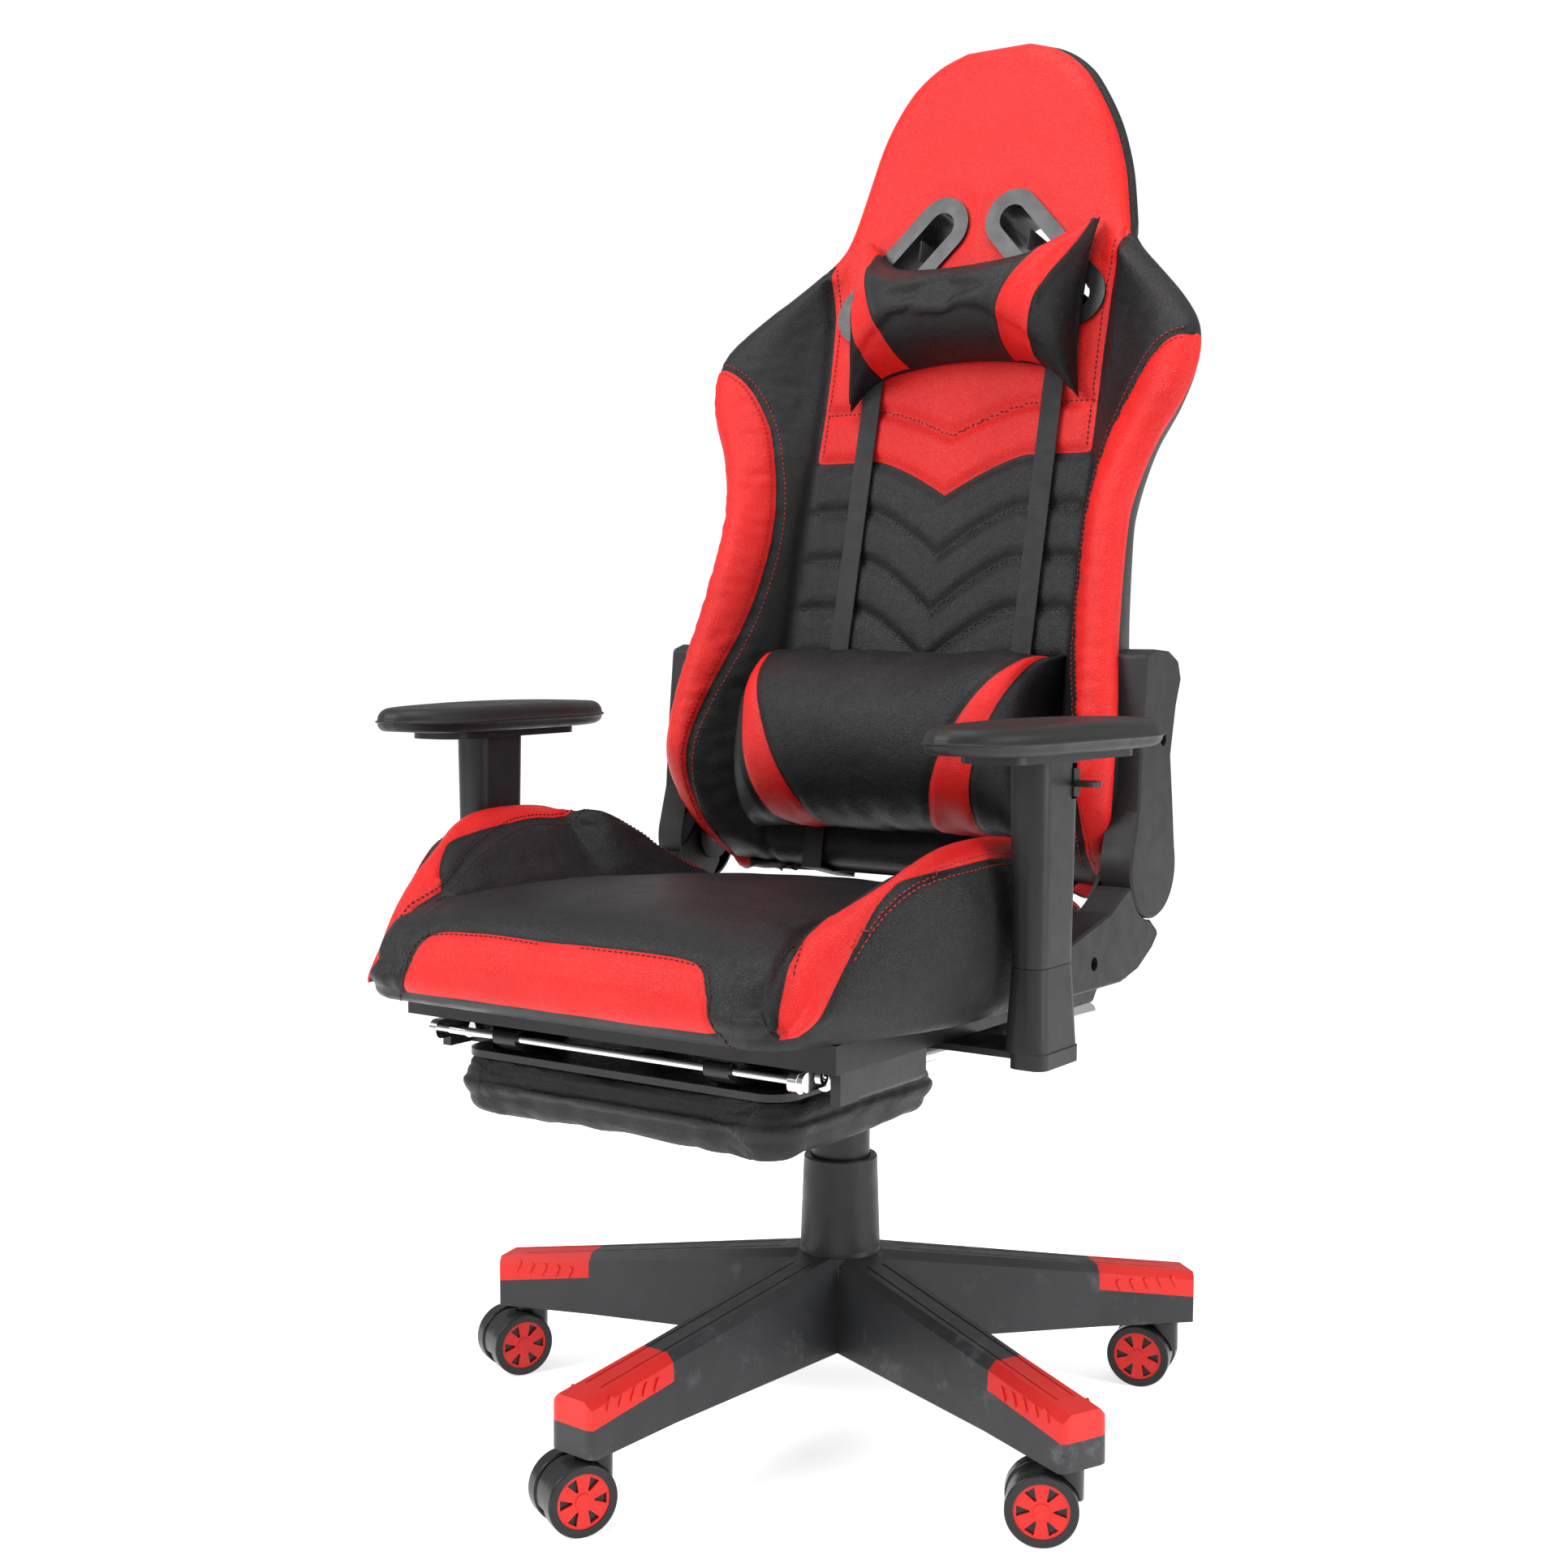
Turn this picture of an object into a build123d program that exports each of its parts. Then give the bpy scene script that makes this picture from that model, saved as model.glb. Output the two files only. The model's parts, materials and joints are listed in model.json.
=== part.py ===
"""Gaming chair: five-star base on twin-wheel casters, gas column, tilting bucket seat with a
pull-out footrest, reclining wing back, height-adjustable arms and two loose cushions.

Millimetres. The origin is on the floor under the column, +Z is up, the chair faces -Y and +X is
the sitter's left.
"""

from build123d import *
from math import atan2, cos, degrees, hypot, radians, sin
import os

# ---------------------------------------------------------------- base and casters
LEGS = 5
BASE_TURN = 49.0                  # polar angle of the first leg
STEM_CIRCLE = 325.0               # radius of the caster stems
LEG_TIP = 350.0
CAP_START = 251.0                 # radius where the coloured leg caps begin
CAP_DEPTH = 23.0                  # how far a cap reaches down the leg's side
CAP_WALL = 2.2
SOCKET_BOTTOM = 63.3              # underside of the caster sockets
HUB_BOTTOM = 74.0
HUB_TOP = 156.0

WHEEL_RADIUS = 30.0
TRAIL = 18.0                      # stem to axle, measured level
HOOD_HALF = 8.0                   # half the width of the hood between the wheels
WHEEL_INNER = 9.3                 # wheel faces, from the caster's middle
WHEEL_OUTER = 24.2
STEM_RADIUS = 5.5
STEM_LENGTH = 50.0
STEM_GRIP = 15.0                  # how far the stem reaches down into its hood
AXLE_LENGTH = 40.0
AXLE_RADIUS = 4.0
RUNNING = 0.05                    # radial clearance of every turning or sliding fit
TRAIL_ANGLES = (193.0, 124.0, 245.0, 242.0, 208.0)   # where each caster's axle has swung to

# ---------------------------------------------------------------- gas column
TUBE_RADIUS = 25.0
TUBE_WALL = 2.0
TUBE_FOOT = 76.0
TUBE_HEIGHT = 164.0
TUBE_FLOOR = 6.0
TUBE_GUIDE = 16.0                 # depth of the guide that the gas cylinder slides in
GAS_RADIUS = 14.0
ROD_RADIUS = 5.0
LOWER_SLEEVE_TOP = 245.0
UPPER_SLEEVE_RADIUS = 27.0
UPPER_SLEEVE_BOTTOM = 216.0
TILT_PIN = (-45.0, 368.0)         # (y, z) of the seat's tilt pin
TILT_PIN_RADIUS = 6.0

# ---------------------------------------------------------------- seat
PLATE_Z = 398.5                   # underside of the tilt plate and the arm brackets
PLATE_THICK = 5.5
FRAME_Z = PLATE_Z + PLATE_THICK   # underside of the seat frame
FRAME_TUBE = 22.0
CUSHION_Z = FRAME_Z + FRAME_TUBE + 0.5
ROD_Y = -335.0                    # footrest cross rod
RAIL_X = 182.0
RAIL_RADIUS = 8.0
RAIL_FRONT = (-345.0, 390.5)      # (y, z) of the rails' front ends
RAIL_BACK = (140.0, 377.2)
FRONT_PLATE_Z = 394.5             # height of the footrest's cross rod, which its pad turns on

# ---------------------------------------------------------------- back
RECLINE_AXIS = (105.0, 520.0)     # (y, z) of the recliner pivots
RECLINE = 13.0                    # degrees behind upright
BACK_FOOT = (100.0, 500.0)        # (y, z) where the back's front face starts
BACK_REAR = -50.0                 # rear face, from the front face's plane
PANEL_FRONT = 6.0
PANEL_HALF = 158.0
HOLE_HALF = 14.0                  # half width of the harness holes
HOLE_ENDS = ((120.0, 560.0), (40.0, 645.0))   # (x, up the back) of each slanted hole's ends
ARM_PLATE_X = 222.5               # inner faces of the stacked recliner plates
SEAT_PLATE_X = 227.0
STEEL = 4.0
COVER_X = 231.5
COVER_OUTER = 262.0

# ---------------------------------------------------------------- arms
ARM_X = 289.0
ARM_Y = -158.0
POST_TOP = 600.0
SLEEVE_BOTTOM = 470.0
SLEEVE_TOP = 630.0
PAD_BOTTOM = 636.0
PAD_TOP = 661.0

os.makedirs("parts", exist_ok=True)

UP_BACK = (0, sin(radians(RECLINE)), cos(radians(RECLINE)))
BACK_FRONT = (0, -cos(radians(RECLINE)), sin(radians(RECLINE)))


def write(piece, name):
    """Labels a finished piece and writes its file."""
    piece.part.label = name
    export_step(piece.part, f"parts/{name}.step")


def along(start, end, share):
    """The value part of the way from start to end."""
    return start + (end - start) * share


def back_plane(height=0.0):
    """The back's face plane, or one in front of it: x across, y up the back."""
    foot = Plane(origin=(0, BACK_FOOT[0], BACK_FOOT[1]), x_dir=(1, 0, 0), z_dir=BACK_FRONT)
    return foot.offset(height)


def back_side(x):
    """A plane across the back: local x runs up the back, local y runs forwards."""
    return Plane(origin=(x, BACK_FOOT[0], BACK_FOOT[1]), x_dir=UP_BACK, z_dir=(1, 0, 0))


def cross_plane(x):
    """A plane square to X: local x is Y and local y is Z."""
    return Plane(origin=(x, 0, 0), x_dir=(0, 1, 0), z_dir=(1, 0, 0))


# ================================================================ casters
def leg_angle(index):
    return BASE_TURN + 360.0 / LEGS * index


def stem_point(index):
    turn = radians(leg_angle(index))
    return (STEM_CIRCLE * cos(turn), STEM_CIRCLE * sin(turn), 0)


def caster_stand(index):
    """Level plane on the floor under a stem, its x towards the axle."""
    swing = radians(TRAIL_ANGLES[index])
    return Plane(origin=stem_point(index), x_dir=(cos(swing), sin(swing), 0), z_dir=(0, 0, 1))


def caster_side(index, across=0.0):
    """Upright plane through a stem, its x towards the axle, y up and normal along the axle."""
    swing = radians(TRAIL_ANGLES[index])
    upright = Plane(origin=stem_point(index), x_dir=(cos(swing), sin(swing), 0),
                    z_dir=(sin(swing), -cos(swing), 0))
    return upright.offset(across)


def make_hood(index, name):
    """The neck round the stem and the web that carries the axle between the wheels."""
    neck_radius = 16.0
    neck_foot = 34.0
    neck_top = SOCKET_BOTTOM - 1.0
    web_floor = 21.0
    wheel_arch = 20.0
    with BuildPart() as hood:
        with BuildSketch(caster_stand(index).offset(neck_foot)):
            Circle(neck_radius)
        extrude(amount=neck_top - neck_foot)
        for across in (-HOOD_HALF - wheel_arch, HOOD_HALF):
            with BuildSketch(caster_side(index, across)):
                with Locations((TRAIL, WHEEL_RADIUS)):
                    Circle(WHEEL_RADIUS + 1.2)
            extrude(amount=wheel_arch, mode=Mode.SUBTRACT)
        with BuildSketch(caster_side(index, -HOOD_HALF)):
            with Locations((TRAIL, WHEEL_RADIUS)):
                Circle(WHEEL_RADIUS - 1.5)
            with Locations((TRAIL, 0)):
                Rectangle(80, 2 * web_floor, mode=Mode.SUBTRACT)
            with Locations((TRAIL, WHEEL_RADIUS)):
                Circle(9.5)
        extrude(amount=2 * HOOD_HALF)
        with BuildSketch(caster_side(index, -HOOD_HALF)):
            with Locations((TRAIL, WHEEL_RADIUS)):
                Circle(AXLE_RADIUS)
        extrude(amount=2 * HOOD_HALF, mode=Mode.SUBTRACT)
        with BuildSketch(caster_stand(index).offset(neck_top - STEM_GRIP)):
            Circle(STEM_RADIUS)
        extrude(amount=STEM_GRIP, mode=Mode.SUBTRACT)
    write(hood, name)


def make_pins(index, name):
    """The steel stem and the axle."""
    stem_foot = SOCKET_BOTTOM - 1.0 - STEM_GRIP
    with BuildPart() as pins:
        with BuildSketch(caster_stand(index).offset(stem_foot)):
            Circle(STEM_RADIUS)
        extrude(amount=STEM_LENGTH)
        chamfer(pins.edges().sort_by(Axis.Z)[-1], 1.5)
        with BuildSketch(caster_side(index, -AXLE_LENGTH / 2)):
            with Locations((TRAIL, WHEEL_RADIUS)):
                Circle(AXLE_RADIUS)
        extrude(amount=AXLE_LENGTH)
    write(pins, name)


def make_wheel(index, side, name):
    """A black wheel and, as a second solid, the spoked rim set in its outer face."""
    width = WHEEL_OUTER - WHEEL_INNER
    rim_radius = 22.8
    rim_depth = 3.4
    gap = 0.05
    spokes = 6
    inner_plane = caster_side(index, side * WHEEL_INNER)
    rim_plane = caster_side(index, side * (WHEEL_OUTER - rim_depth + gap))
    with BuildPart() as wheel:
        with BuildSketch(inner_plane):
            with Locations((TRAIL, WHEEL_RADIUS)):
                Circle(WHEEL_RADIUS)
        extrude(amount=side * width)
        fillet(wheel.edges().filter_by(GeomType.CIRCLE), 1.8)
        with BuildSketch(caster_side(index, side * WHEEL_OUTER)):
            with Locations((TRAIL, WHEEL_RADIUS)):
                Circle(rim_radius + gap)
        extrude(amount=-side * rim_depth, mode=Mode.SUBTRACT)
        with BuildSketch(inner_plane):
            with Locations((TRAIL, WHEEL_RADIUS)):
                Circle(25.5)
                Circle(9.0, mode=Mode.SUBTRACT)
        extrude(amount=side * 5.0, mode=Mode.SUBTRACT)
        with BuildSketch(inner_plane):
            with Locations((TRAIL, WHEEL_RADIUS)):
                Circle(AXLE_RADIUS + RUNNING)
        extrude(amount=side * 11.0, mode=Mode.SUBTRACT)
        with BuildSketch(rim_plane):
            with Locations((TRAIL, WHEEL_RADIUS)):
                Circle(rim_radius)
        extrude(amount=side * (rim_depth - 0.9))
        with BuildSketch(rim_plane):
            with Locations((TRAIL, WHEEL_RADIUS)):
                with PolarLocations(14.8, spokes):
                    Trapezoid(9.0, 10.6, 71, rotation=90)
        extrude(amount=side * (rim_depth - 0.9), mode=Mode.SUBTRACT)
        with BuildSketch(rim_plane):
            with Locations((TRAIL, WHEEL_RADIUS)):
                Circle(6.8)
        extrude(amount=side * (rim_depth - 0.2))
    write(wheel, name)


for number in range(LEGS):
    make_hood(number, f"caster_hood_{number + 1}")
    make_pins(number, f"caster_pins_{number + 1}")
    make_wheel(number, 1, f"wheel_{number + 1}_a")
    make_wheel(number, -1, f"wheel_{number + 1}_b")


# ================================================================ star base
def leg_top(radius):
    return along(156.0, 112.0, (radius - 40.0) / 310.0)


def leg_low(radius):
    return along(74.0, 65.0, (radius - 46.0) / 304.0)


def leg_plane(index, radius):
    """Upright plane square to a leg."""
    turn = radians(leg_angle(index))
    return Plane(origin=(radius * cos(turn), radius * sin(turn), 0),
                 x_dir=(-sin(turn), cos(turn), 0), z_dir=(cos(turn), sin(turn), 0))


def leg_section(radius, inset, half_low, half_high):
    """Corners of a leg's cross-section: wider below, with its top edges bevelled."""
    bevel = 7.0
    low = leg_low(radius)
    high = leg_top(radius) - inset
    half_low = half_low - inset
    half_high = half_high - inset
    return ((-half_low, low), (half_low, low), (half_high, high - bevel),
            (half_high - bevel, high), (bevel - half_high, high), (-half_high, high - bevel))


def make_leg(index, inset):
    """One leg out to its rounded tip, drawn in by inset all round except underneath."""
    turn = radians(leg_angle(index))
    tip = LEG_TIP - inset
    level = Plane(origin=(0, 0, 0), x_dir=(cos(turn), sin(turn), 0), z_dir=(0, 0, 1))
    root = leg_section(24.0, inset, 33.0, 24.0)
    middle = leg_section(250.0, inset, 23.5, 20.5)
    end = leg_section(LEG_TIP, inset, 24.5, 22.0)
    with BuildPart() as leg:
        with BuildSketch(leg_plane(index, 24.0)):
            Polygon(*root, align=None)
        with BuildSketch(leg_plane(index, 250.0)):
            Polygon(*middle, align=None)
        loft(ruled=True)
        with BuildSketch(leg_plane(index, 250.0)):
            Polygon(*middle, align=None)
        with BuildSketch(leg_plane(index, LEG_TIP)):
            Polygon(*end, align=None)
        loft(ruled=True)
        with BuildSketch(level):
            Polygon((-10, -50), (240, -50), (tip, -25), (tip, 25), (240, 50), (-10, 50),
                    align=None)
            fillet(vertices().sort_by(Axis.X)[-2:], 12.0 - inset)
        extrude(amount=200.0, mode=Mode.INTERSECT)
    return leg.part


def cap_zone(index):
    """The space round a leg's end, above the line where its cap stops."""
    turn = radians(leg_angle(index))
    upright = Plane(origin=(0, 0, 0), x_dir=(cos(turn), sin(turn), 0),
                    z_dir=(sin(turn), -cos(turn), 0))
    with BuildPart() as zone:
        with BuildSketch(upright.offset(-60)):
            Polygon((CAP_START, leg_top(CAP_START) - CAP_DEPTH),
                    (LEG_TIP + 10, leg_top(LEG_TIP + 10) - CAP_DEPTH),
                    (LEG_TIP + 10, 180), (CAP_START, 180), align=None)
        extrude(amount=120)
    return zone.part


def leg_grooves(index):
    """Two shallow lines that run along the top of a leg."""
    turn = radians(leg_angle(index))
    slope = (leg_top(LEG_TIP) - leg_top(60.0)) / (LEG_TIP - 60.0)
    top = Plane(origin=(60.0 * cos(turn), 60.0 * sin(turn), leg_top(60.0)),
                x_dir=(cos(turn), sin(turn), slope), z_dir=(-slope * cos(turn), -slope * sin(turn), 1))
    with BuildPart() as grooves:
        with BuildSketch(top.offset(-0.9)):
            for across in (-8.5, 8.5):
                with Locations((132.0, across)):
                    SlotOverall(272.0, 1.8)
        extrude(amount=3.0)
    return grooves.part


def grip_marks(index):
    """Slanted raised ovals on both sides of a cap."""
    turn = radians(leg_angle(index))
    lean = 0.065                  # how far the leg's side leans in, per unit of height
    with BuildPart() as marks:
        for side in (1, -1):
            outward = (-side * sin(turn), side * cos(turn), lean)
            face = Plane(origin=(300.0 * cos(turn) - side * 22.6 * sin(turn),
                                 300.0 * sin(turn) + side * 22.6 * cos(turn), 106.0),
                         x_dir=(cos(turn), sin(turn), 0), z_dir=outward)
            with BuildSketch(face.offset(-1.0)):
                with GridLocations(14.0, 1.0, 5, 1):
                    SlotOverall(12.0, 4.4, rotation=side * 62)
            extrude(amount=1.3)
    return marks.part


hub_profile = ((0, HUB_BOTTOM), (40, HUB_BOTTOM), (45, HUB_BOTTOM + 5), (45, 120), (42, 148),
               (39, HUB_TOP), (0, HUB_TOP))
cores = [make_leg(number, CAP_WALL) for number in range(LEGS)]
legs = [make_leg(number, 0.0) for number in range(LEGS)]
zones = [cap_zone(number) for number in range(LEGS)]

with BuildPart() as leg_caps:
    for number in range(LEGS):
        add(legs[number] & zones[number])
    for number in range(LEGS):
        add(grip_marks(number) & zones[number])
    for number in range(LEGS):
        add(cores[number], mode=Mode.SUBTRACT)
        add(leg_grooves(number), mode=Mode.SUBTRACT)
write(leg_caps, "leg_caps")

with BuildPart() as star_base:
    for number in range(LEGS):
        add(legs[number] - zones[number])
        add(cores[number])
    with BuildSketch(Plane.XZ):
        Polygon(*hub_profile, align=None)
    revolve(axis=Axis.Z)
    for number in range(LEGS):
        add(leg_grooves(number) - zones[number], mode=Mode.SUBTRACT)
        angle = radians(leg_angle(number))
        for bay in range(4):
            inner = 56.0 + 60.0 * bay
            start = Plane(origin=(inner * cos(angle), inner * sin(angle), 0),
                          x_dir=(-sin(angle), cos(angle), 0), z_dir=(cos(angle), sin(angle), 0))
            pocket_top = leg_top(inner + 56.0) - 12.0
            half = along(24.0, 18.0, bay / 3)
            with BuildSketch(start):
                Polygon((-half, 55), (half, 55), (half - 5, pocket_top),
                        (5 - half, pocket_top), align=None)
            extrude(amount=56.0, mode=Mode.SUBTRACT)
        with BuildSketch(Plane(origin=(*stem_point(number)[:2], SOCKET_BOTTOM))):
            Circle(17.5)
        extrude(amount=12.0)
        with BuildSketch(Plane(origin=(*stem_point(number)[:2], SOCKET_BOTTOM))):
            Circle(STEM_RADIUS + RUNNING)
        extrude(amount=36.0, mode=Mode.SUBTRACT)
    with BuildSketch(Plane.XY.offset(HUB_BOTTOM)):
        Circle(TUBE_RADIUS)
    extrude(amount=HUB_TOP - HUB_BOTTOM, mode=Mode.SUBTRACT)
    with BuildSketch(Plane.XY.offset(HUB_TOP)):
        Circle(39.5)
    extrude(amount=20, mode=Mode.SUBTRACT)
write(star_base, "star_base")

# ================================================================ gas column
with BuildPart() as gas_outer_tube:
    with BuildSketch(Plane.XY.offset(TUBE_FOOT)):
        Circle(TUBE_RADIUS)
    extrude(amount=TUBE_HEIGHT)
    with BuildSketch(Plane.XY.offset(TUBE_FOOT + TUBE_FLOOR)):
        Circle(TUBE_RADIUS - TUBE_WALL)
    extrude(amount=TUBE_HEIGHT - TUBE_FLOOR - TUBE_GUIDE, mode=Mode.SUBTRACT)
    with BuildSketch(Plane.XY.offset(TUBE_FOOT + TUBE_HEIGHT - TUBE_GUIDE)):
        Circle(GAS_RADIUS + RUNNING)
    extrude(amount=TUBE_GUIDE, mode=Mode.SUBTRACT)
    with BuildSketch(Plane.XY.offset(TUBE_FOOT)):
        Circle(ROD_RADIUS + RUNNING)
    extrude(amount=TUBE_FLOOR, mode=Mode.SUBTRACT)
write(gas_outer_tube, "gas_outer_tube")

with BuildPart() as column_sleeve_lower:
    with BuildSketch(Plane.XZ):
        Polygon((TUBE_RADIUS, HUB_TOP), (38.0, HUB_TOP), (37.0, HUB_TOP + 4),
                (34.0, LOWER_SLEEVE_TOP - 1.5), (33.0, LOWER_SLEEVE_TOP), (28.0, LOWER_SLEEVE_TOP),
                (28.0, LOWER_SLEEVE_TOP - 3), (31.5, LOWER_SLEEVE_TOP - 4), (34.0, HUB_TOP + 3),
                (TUBE_RADIUS, HUB_TOP + 3), align=None)
    revolve(axis=Axis.Z)
write(column_sleeve_lower, "column_sleeve_lower")

ROD_FOOT = 72.0
ROD_LENGTH = 123.0
PISTON_HEIGHT = 8.0
GAS_FOOT = 152.0
GAS_HEIGHT = 228.0
GAS_WALL = 2.0
GAS_HEAD = 16.0                   # solid valve end, above the bore

with BuildPart() as gas_rod:
    with BuildSketch(Plane.XY.offset(ROD_FOOT)):
        Circle(ROD_RADIUS)
    extrude(amount=ROD_LENGTH)
    with BuildSketch(Plane.XY.offset(ROD_FOOT + ROD_LENGTH - PISTON_HEIGHT)):
        Circle(GAS_RADIUS - GAS_WALL - RUNNING)
    extrude(amount=PISTON_HEIGHT)
    with BuildSketch(Plane.XY.offset(TUBE_FOOT + TUBE_FLOOR + 1)):
        Circle(9)
    extrude(amount=4)
write(gas_rod, "gas_rod")

with BuildPart() as gas_cylinder:
    with BuildSketch(Plane.XY.offset(GAS_FOOT)):
        Circle(GAS_RADIUS)
    extrude(amount=GAS_HEIGHT)
    with BuildSketch(Plane.XY.offset(GAS_FOOT + PISTON_HEIGHT)):
        Circle(GAS_RADIUS - GAS_WALL)
    extrude(amount=GAS_HEIGHT - PISTON_HEIGHT - GAS_HEAD, mode=Mode.SUBTRACT)
    with BuildSketch(Plane.XY.offset(GAS_FOOT)):
        Circle(ROD_RADIUS + RUNNING)
    extrude(amount=PISTON_HEIGHT, mode=Mode.SUBTRACT)
write(gas_cylinder, "gas_cylinder")

with BuildPart() as column_sleeve_upper:
    with BuildSketch(Plane.XY.offset(UPPER_SLEEVE_BOTTOM)):
        Circle(UPPER_SLEEVE_RADIUS)
        Circle(UPPER_SLEEVE_RADIUS - 1.6, mode=Mode.SUBTRACT)
    extrude(amount=336 - UPPER_SLEEVE_BOTTOM)
write(column_sleeve_upper, "column_sleeve_upper")

# ================================================================ tilt mechanism
HOUSING = (-88.0, 92.0)           # (front, back)
HOUSING_HALF = 46.0
HOUSING_Z = (340.0, 382.0)
KNOB_Y = -60.0
LIFT_PIN = (-32.0, 356.0)         # (y, z) of the height lever's shaft
HOUSING_WALL = 3.0
BOSS_FOOT = 336.0                 # underside of the collar that grips the gas cylinder
BOSS_HEIGHT = 44.0
LIFT_SHAFT = 5.0
KNOB_STEM = 6.0
KNOB_FOOT = 300.0
KNOB_HEIGHT = 34.0

with BuildPart() as tilt_housing:
    with BuildSketch(Plane.XY.offset(HOUSING_Z[0])):
        with Locations((0, sum(HOUSING) / 2)):
            RectangleRounded(2 * HOUSING_HALF, HOUSING[1] - HOUSING[0], 14)
    extrude(amount=HOUSING_Z[1] - HOUSING_Z[0])
    with BuildSketch(Plane.XY.offset(HOUSING_Z[0] + HOUSING_WALL)):
        with Locations((0, sum(HOUSING) / 2)):
            RectangleRounded(2 * (HOUSING_HALF - HOUSING_WALL),
                             HOUSING[1] - HOUSING[0] - 2 * HOUSING_WALL, 11)
    extrude(amount=HOUSING_Z[1] - HOUSING_Z[0], mode=Mode.SUBTRACT)
    with BuildSketch(Plane.XY.offset(BOSS_FOOT)):
        Circle(21)
    extrude(amount=BOSS_HEIGHT)
    with BuildSketch(Plane.XY.offset(BOSS_FOOT)):
        Circle(GAS_RADIUS)
    extrude(amount=BOSS_HEIGHT, mode=Mode.SUBTRACT)
    with BuildSketch(cross_plane(-HOUSING_HALF)):
        with Locations(TILT_PIN):
            Circle(TILT_PIN_RADIUS)
    extrude(amount=2 * HOUSING_HALF, mode=Mode.SUBTRACT)
    with BuildSketch(Plane.XY.offset(HOUSING_Z[0])):
        with Locations((0, KNOB_Y)):
            Circle(KNOB_STEM + RUNNING)
    extrude(amount=HOUSING_WALL, mode=Mode.SUBTRACT)
    with BuildSketch(cross_plane(-HOUSING_HALF)):
        with Locations(LIFT_PIN):
            Circle(LIFT_SHAFT + RUNNING)
    extrude(amount=HOUSING_WALL, mode=Mode.SUBTRACT)
write(tilt_housing, "tilt_housing")

with BuildPart() as tilt_pin:
    with BuildSketch(cross_plane(-61)):
        with Locations(TILT_PIN):
            Circle(TILT_PIN_RADIUS)
    extrude(amount=122)
write(tilt_pin, "tilt_pin")

with BuildPart() as tilt_spring:
    with BuildSketch(Plane.XY.offset(344)):
        with Locations((0, KNOB_Y - 2)):
            Circle(13)
            Circle(9.5, mode=Mode.SUBTRACT)
    extrude(amount=14)
write(tilt_spring, "tilt_spring")

with BuildPart() as tension_knob:
    with BuildSketch(Plane.XY.offset(KNOB_FOOT)):
        with Locations((0, KNOB_Y)):
            Circle(21)
            with PolarLocations(21, 12):
                Circle(2.2, mode=Mode.SUBTRACT)
    extrude(amount=KNOB_HEIGHT)
    chamfer(tension_knob.edges().group_by(Axis.Z)[0], 1.0)
    with BuildSketch(Plane.XY.offset(KNOB_FOOT + KNOB_HEIGHT)):
        with Locations((0, KNOB_Y)):
            Circle(KNOB_STEM)
    extrude(amount=22)
write(tension_knob, "tension_knob")

with BuildPart() as lift_lever:
    with BuildSketch(cross_plane(-235)):
        with Locations(LIFT_PIN):
            Circle(LIFT_SHAFT)
    extrude(amount=212)
    with BuildSketch(cross_plane(-240)):
        with Locations((LIFT_PIN[0] - 14, LIFT_PIN[1])):
            SlotOverall(46, 13)
    extrude(amount=62)
    fillet(lift_lever.edges().group_by(Axis.X)[0], 3)
write(lift_lever, "lift_lever")

# ================================================================ seat structure
SEAT_BOLT_Y = -48.0               # centre of the four bolts that hold the plate to the frame
SEAT_BOLT_GRID = (170.0, 174.0)
SEAT_BOLT_HOLE = 4.2

with BuildPart() as tilt_plate:
    with BuildSketch(Plane.XY.offset(PLATE_Z)):
        with Locations((0, -35)):
            RectangleRounded(208, 250, 12)
        with Locations((0, 27)):
            RectangleRounded(100, 126, 6, mode=Mode.SUBTRACT)
    extrude(amount=PLATE_THICK)
    for across in (-58.0, 54.0):
        with BuildSketch(cross_plane(across)):
            with Locations(((TILT_PIN[0] + 5), (TILT_PIN[1] + PLATE_Z) / 2)):
                Rectangle(70, PLATE_Z - TILT_PIN[1])
            with Locations(TILT_PIN):
                Circle(11)
                Circle(TILT_PIN_RADIUS + RUNNING, mode=Mode.SUBTRACT)
        extrude(amount=4)
    with BuildSketch(Plane.XY.offset(PLATE_Z)):
        with Locations((0, SEAT_BOLT_Y)):
            with GridLocations(*SEAT_BOLT_GRID, 2, 2):
                Circle(SEAT_BOLT_HOLE)
    extrude(amount=PLATE_THICK, mode=Mode.SUBTRACT)
write(tilt_plate, "tilt_plate")

with BuildPart() as seat_frame:
    with BuildSketch(Plane.XY.offset(FRAME_Z)):
        with Locations((-206, -145), (206, -145)):
            Rectangle(FRAME_TUBE, 390)
        with Locations((0, -329), (0, -232), (0, -135), (0, -48), (0, 39)):
            Rectangle(412, FRAME_TUBE)
        with Locations((-85, -135), (85, -135)):
            Rectangle(30, 370)
    extrude(amount=FRAME_TUBE)
    with BuildSketch(Plane.XY.offset(FRAME_Z)):
        with Locations((0, SEAT_BOLT_Y)):
            with GridLocations(*SEAT_BOLT_GRID, 2, 2):
                Circle(SEAT_BOLT_HOLE)
    extrude(amount=10, mode=Mode.SUBTRACT)
write(seat_frame, "seat_frame")

with BuildPart() as seat_bolts:
    with BuildSketch(Plane.XY.offset(PLATE_Z)):
        with Locations((0, SEAT_BOLT_Y)):
            with GridLocations(*SEAT_BOLT_GRID, 2, 2):
                Circle(SEAT_BOLT_HOLE)
    extrude(amount=15)
    with BuildSketch(Plane.XY.offset(PLATE_Z - 5)):
        with Locations((0, SEAT_BOLT_Y)):
            with GridLocations(*SEAT_BOLT_GRID, 2, 2):
                RegularPolygon(7.0, 6)
    extrude(amount=5)

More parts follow.
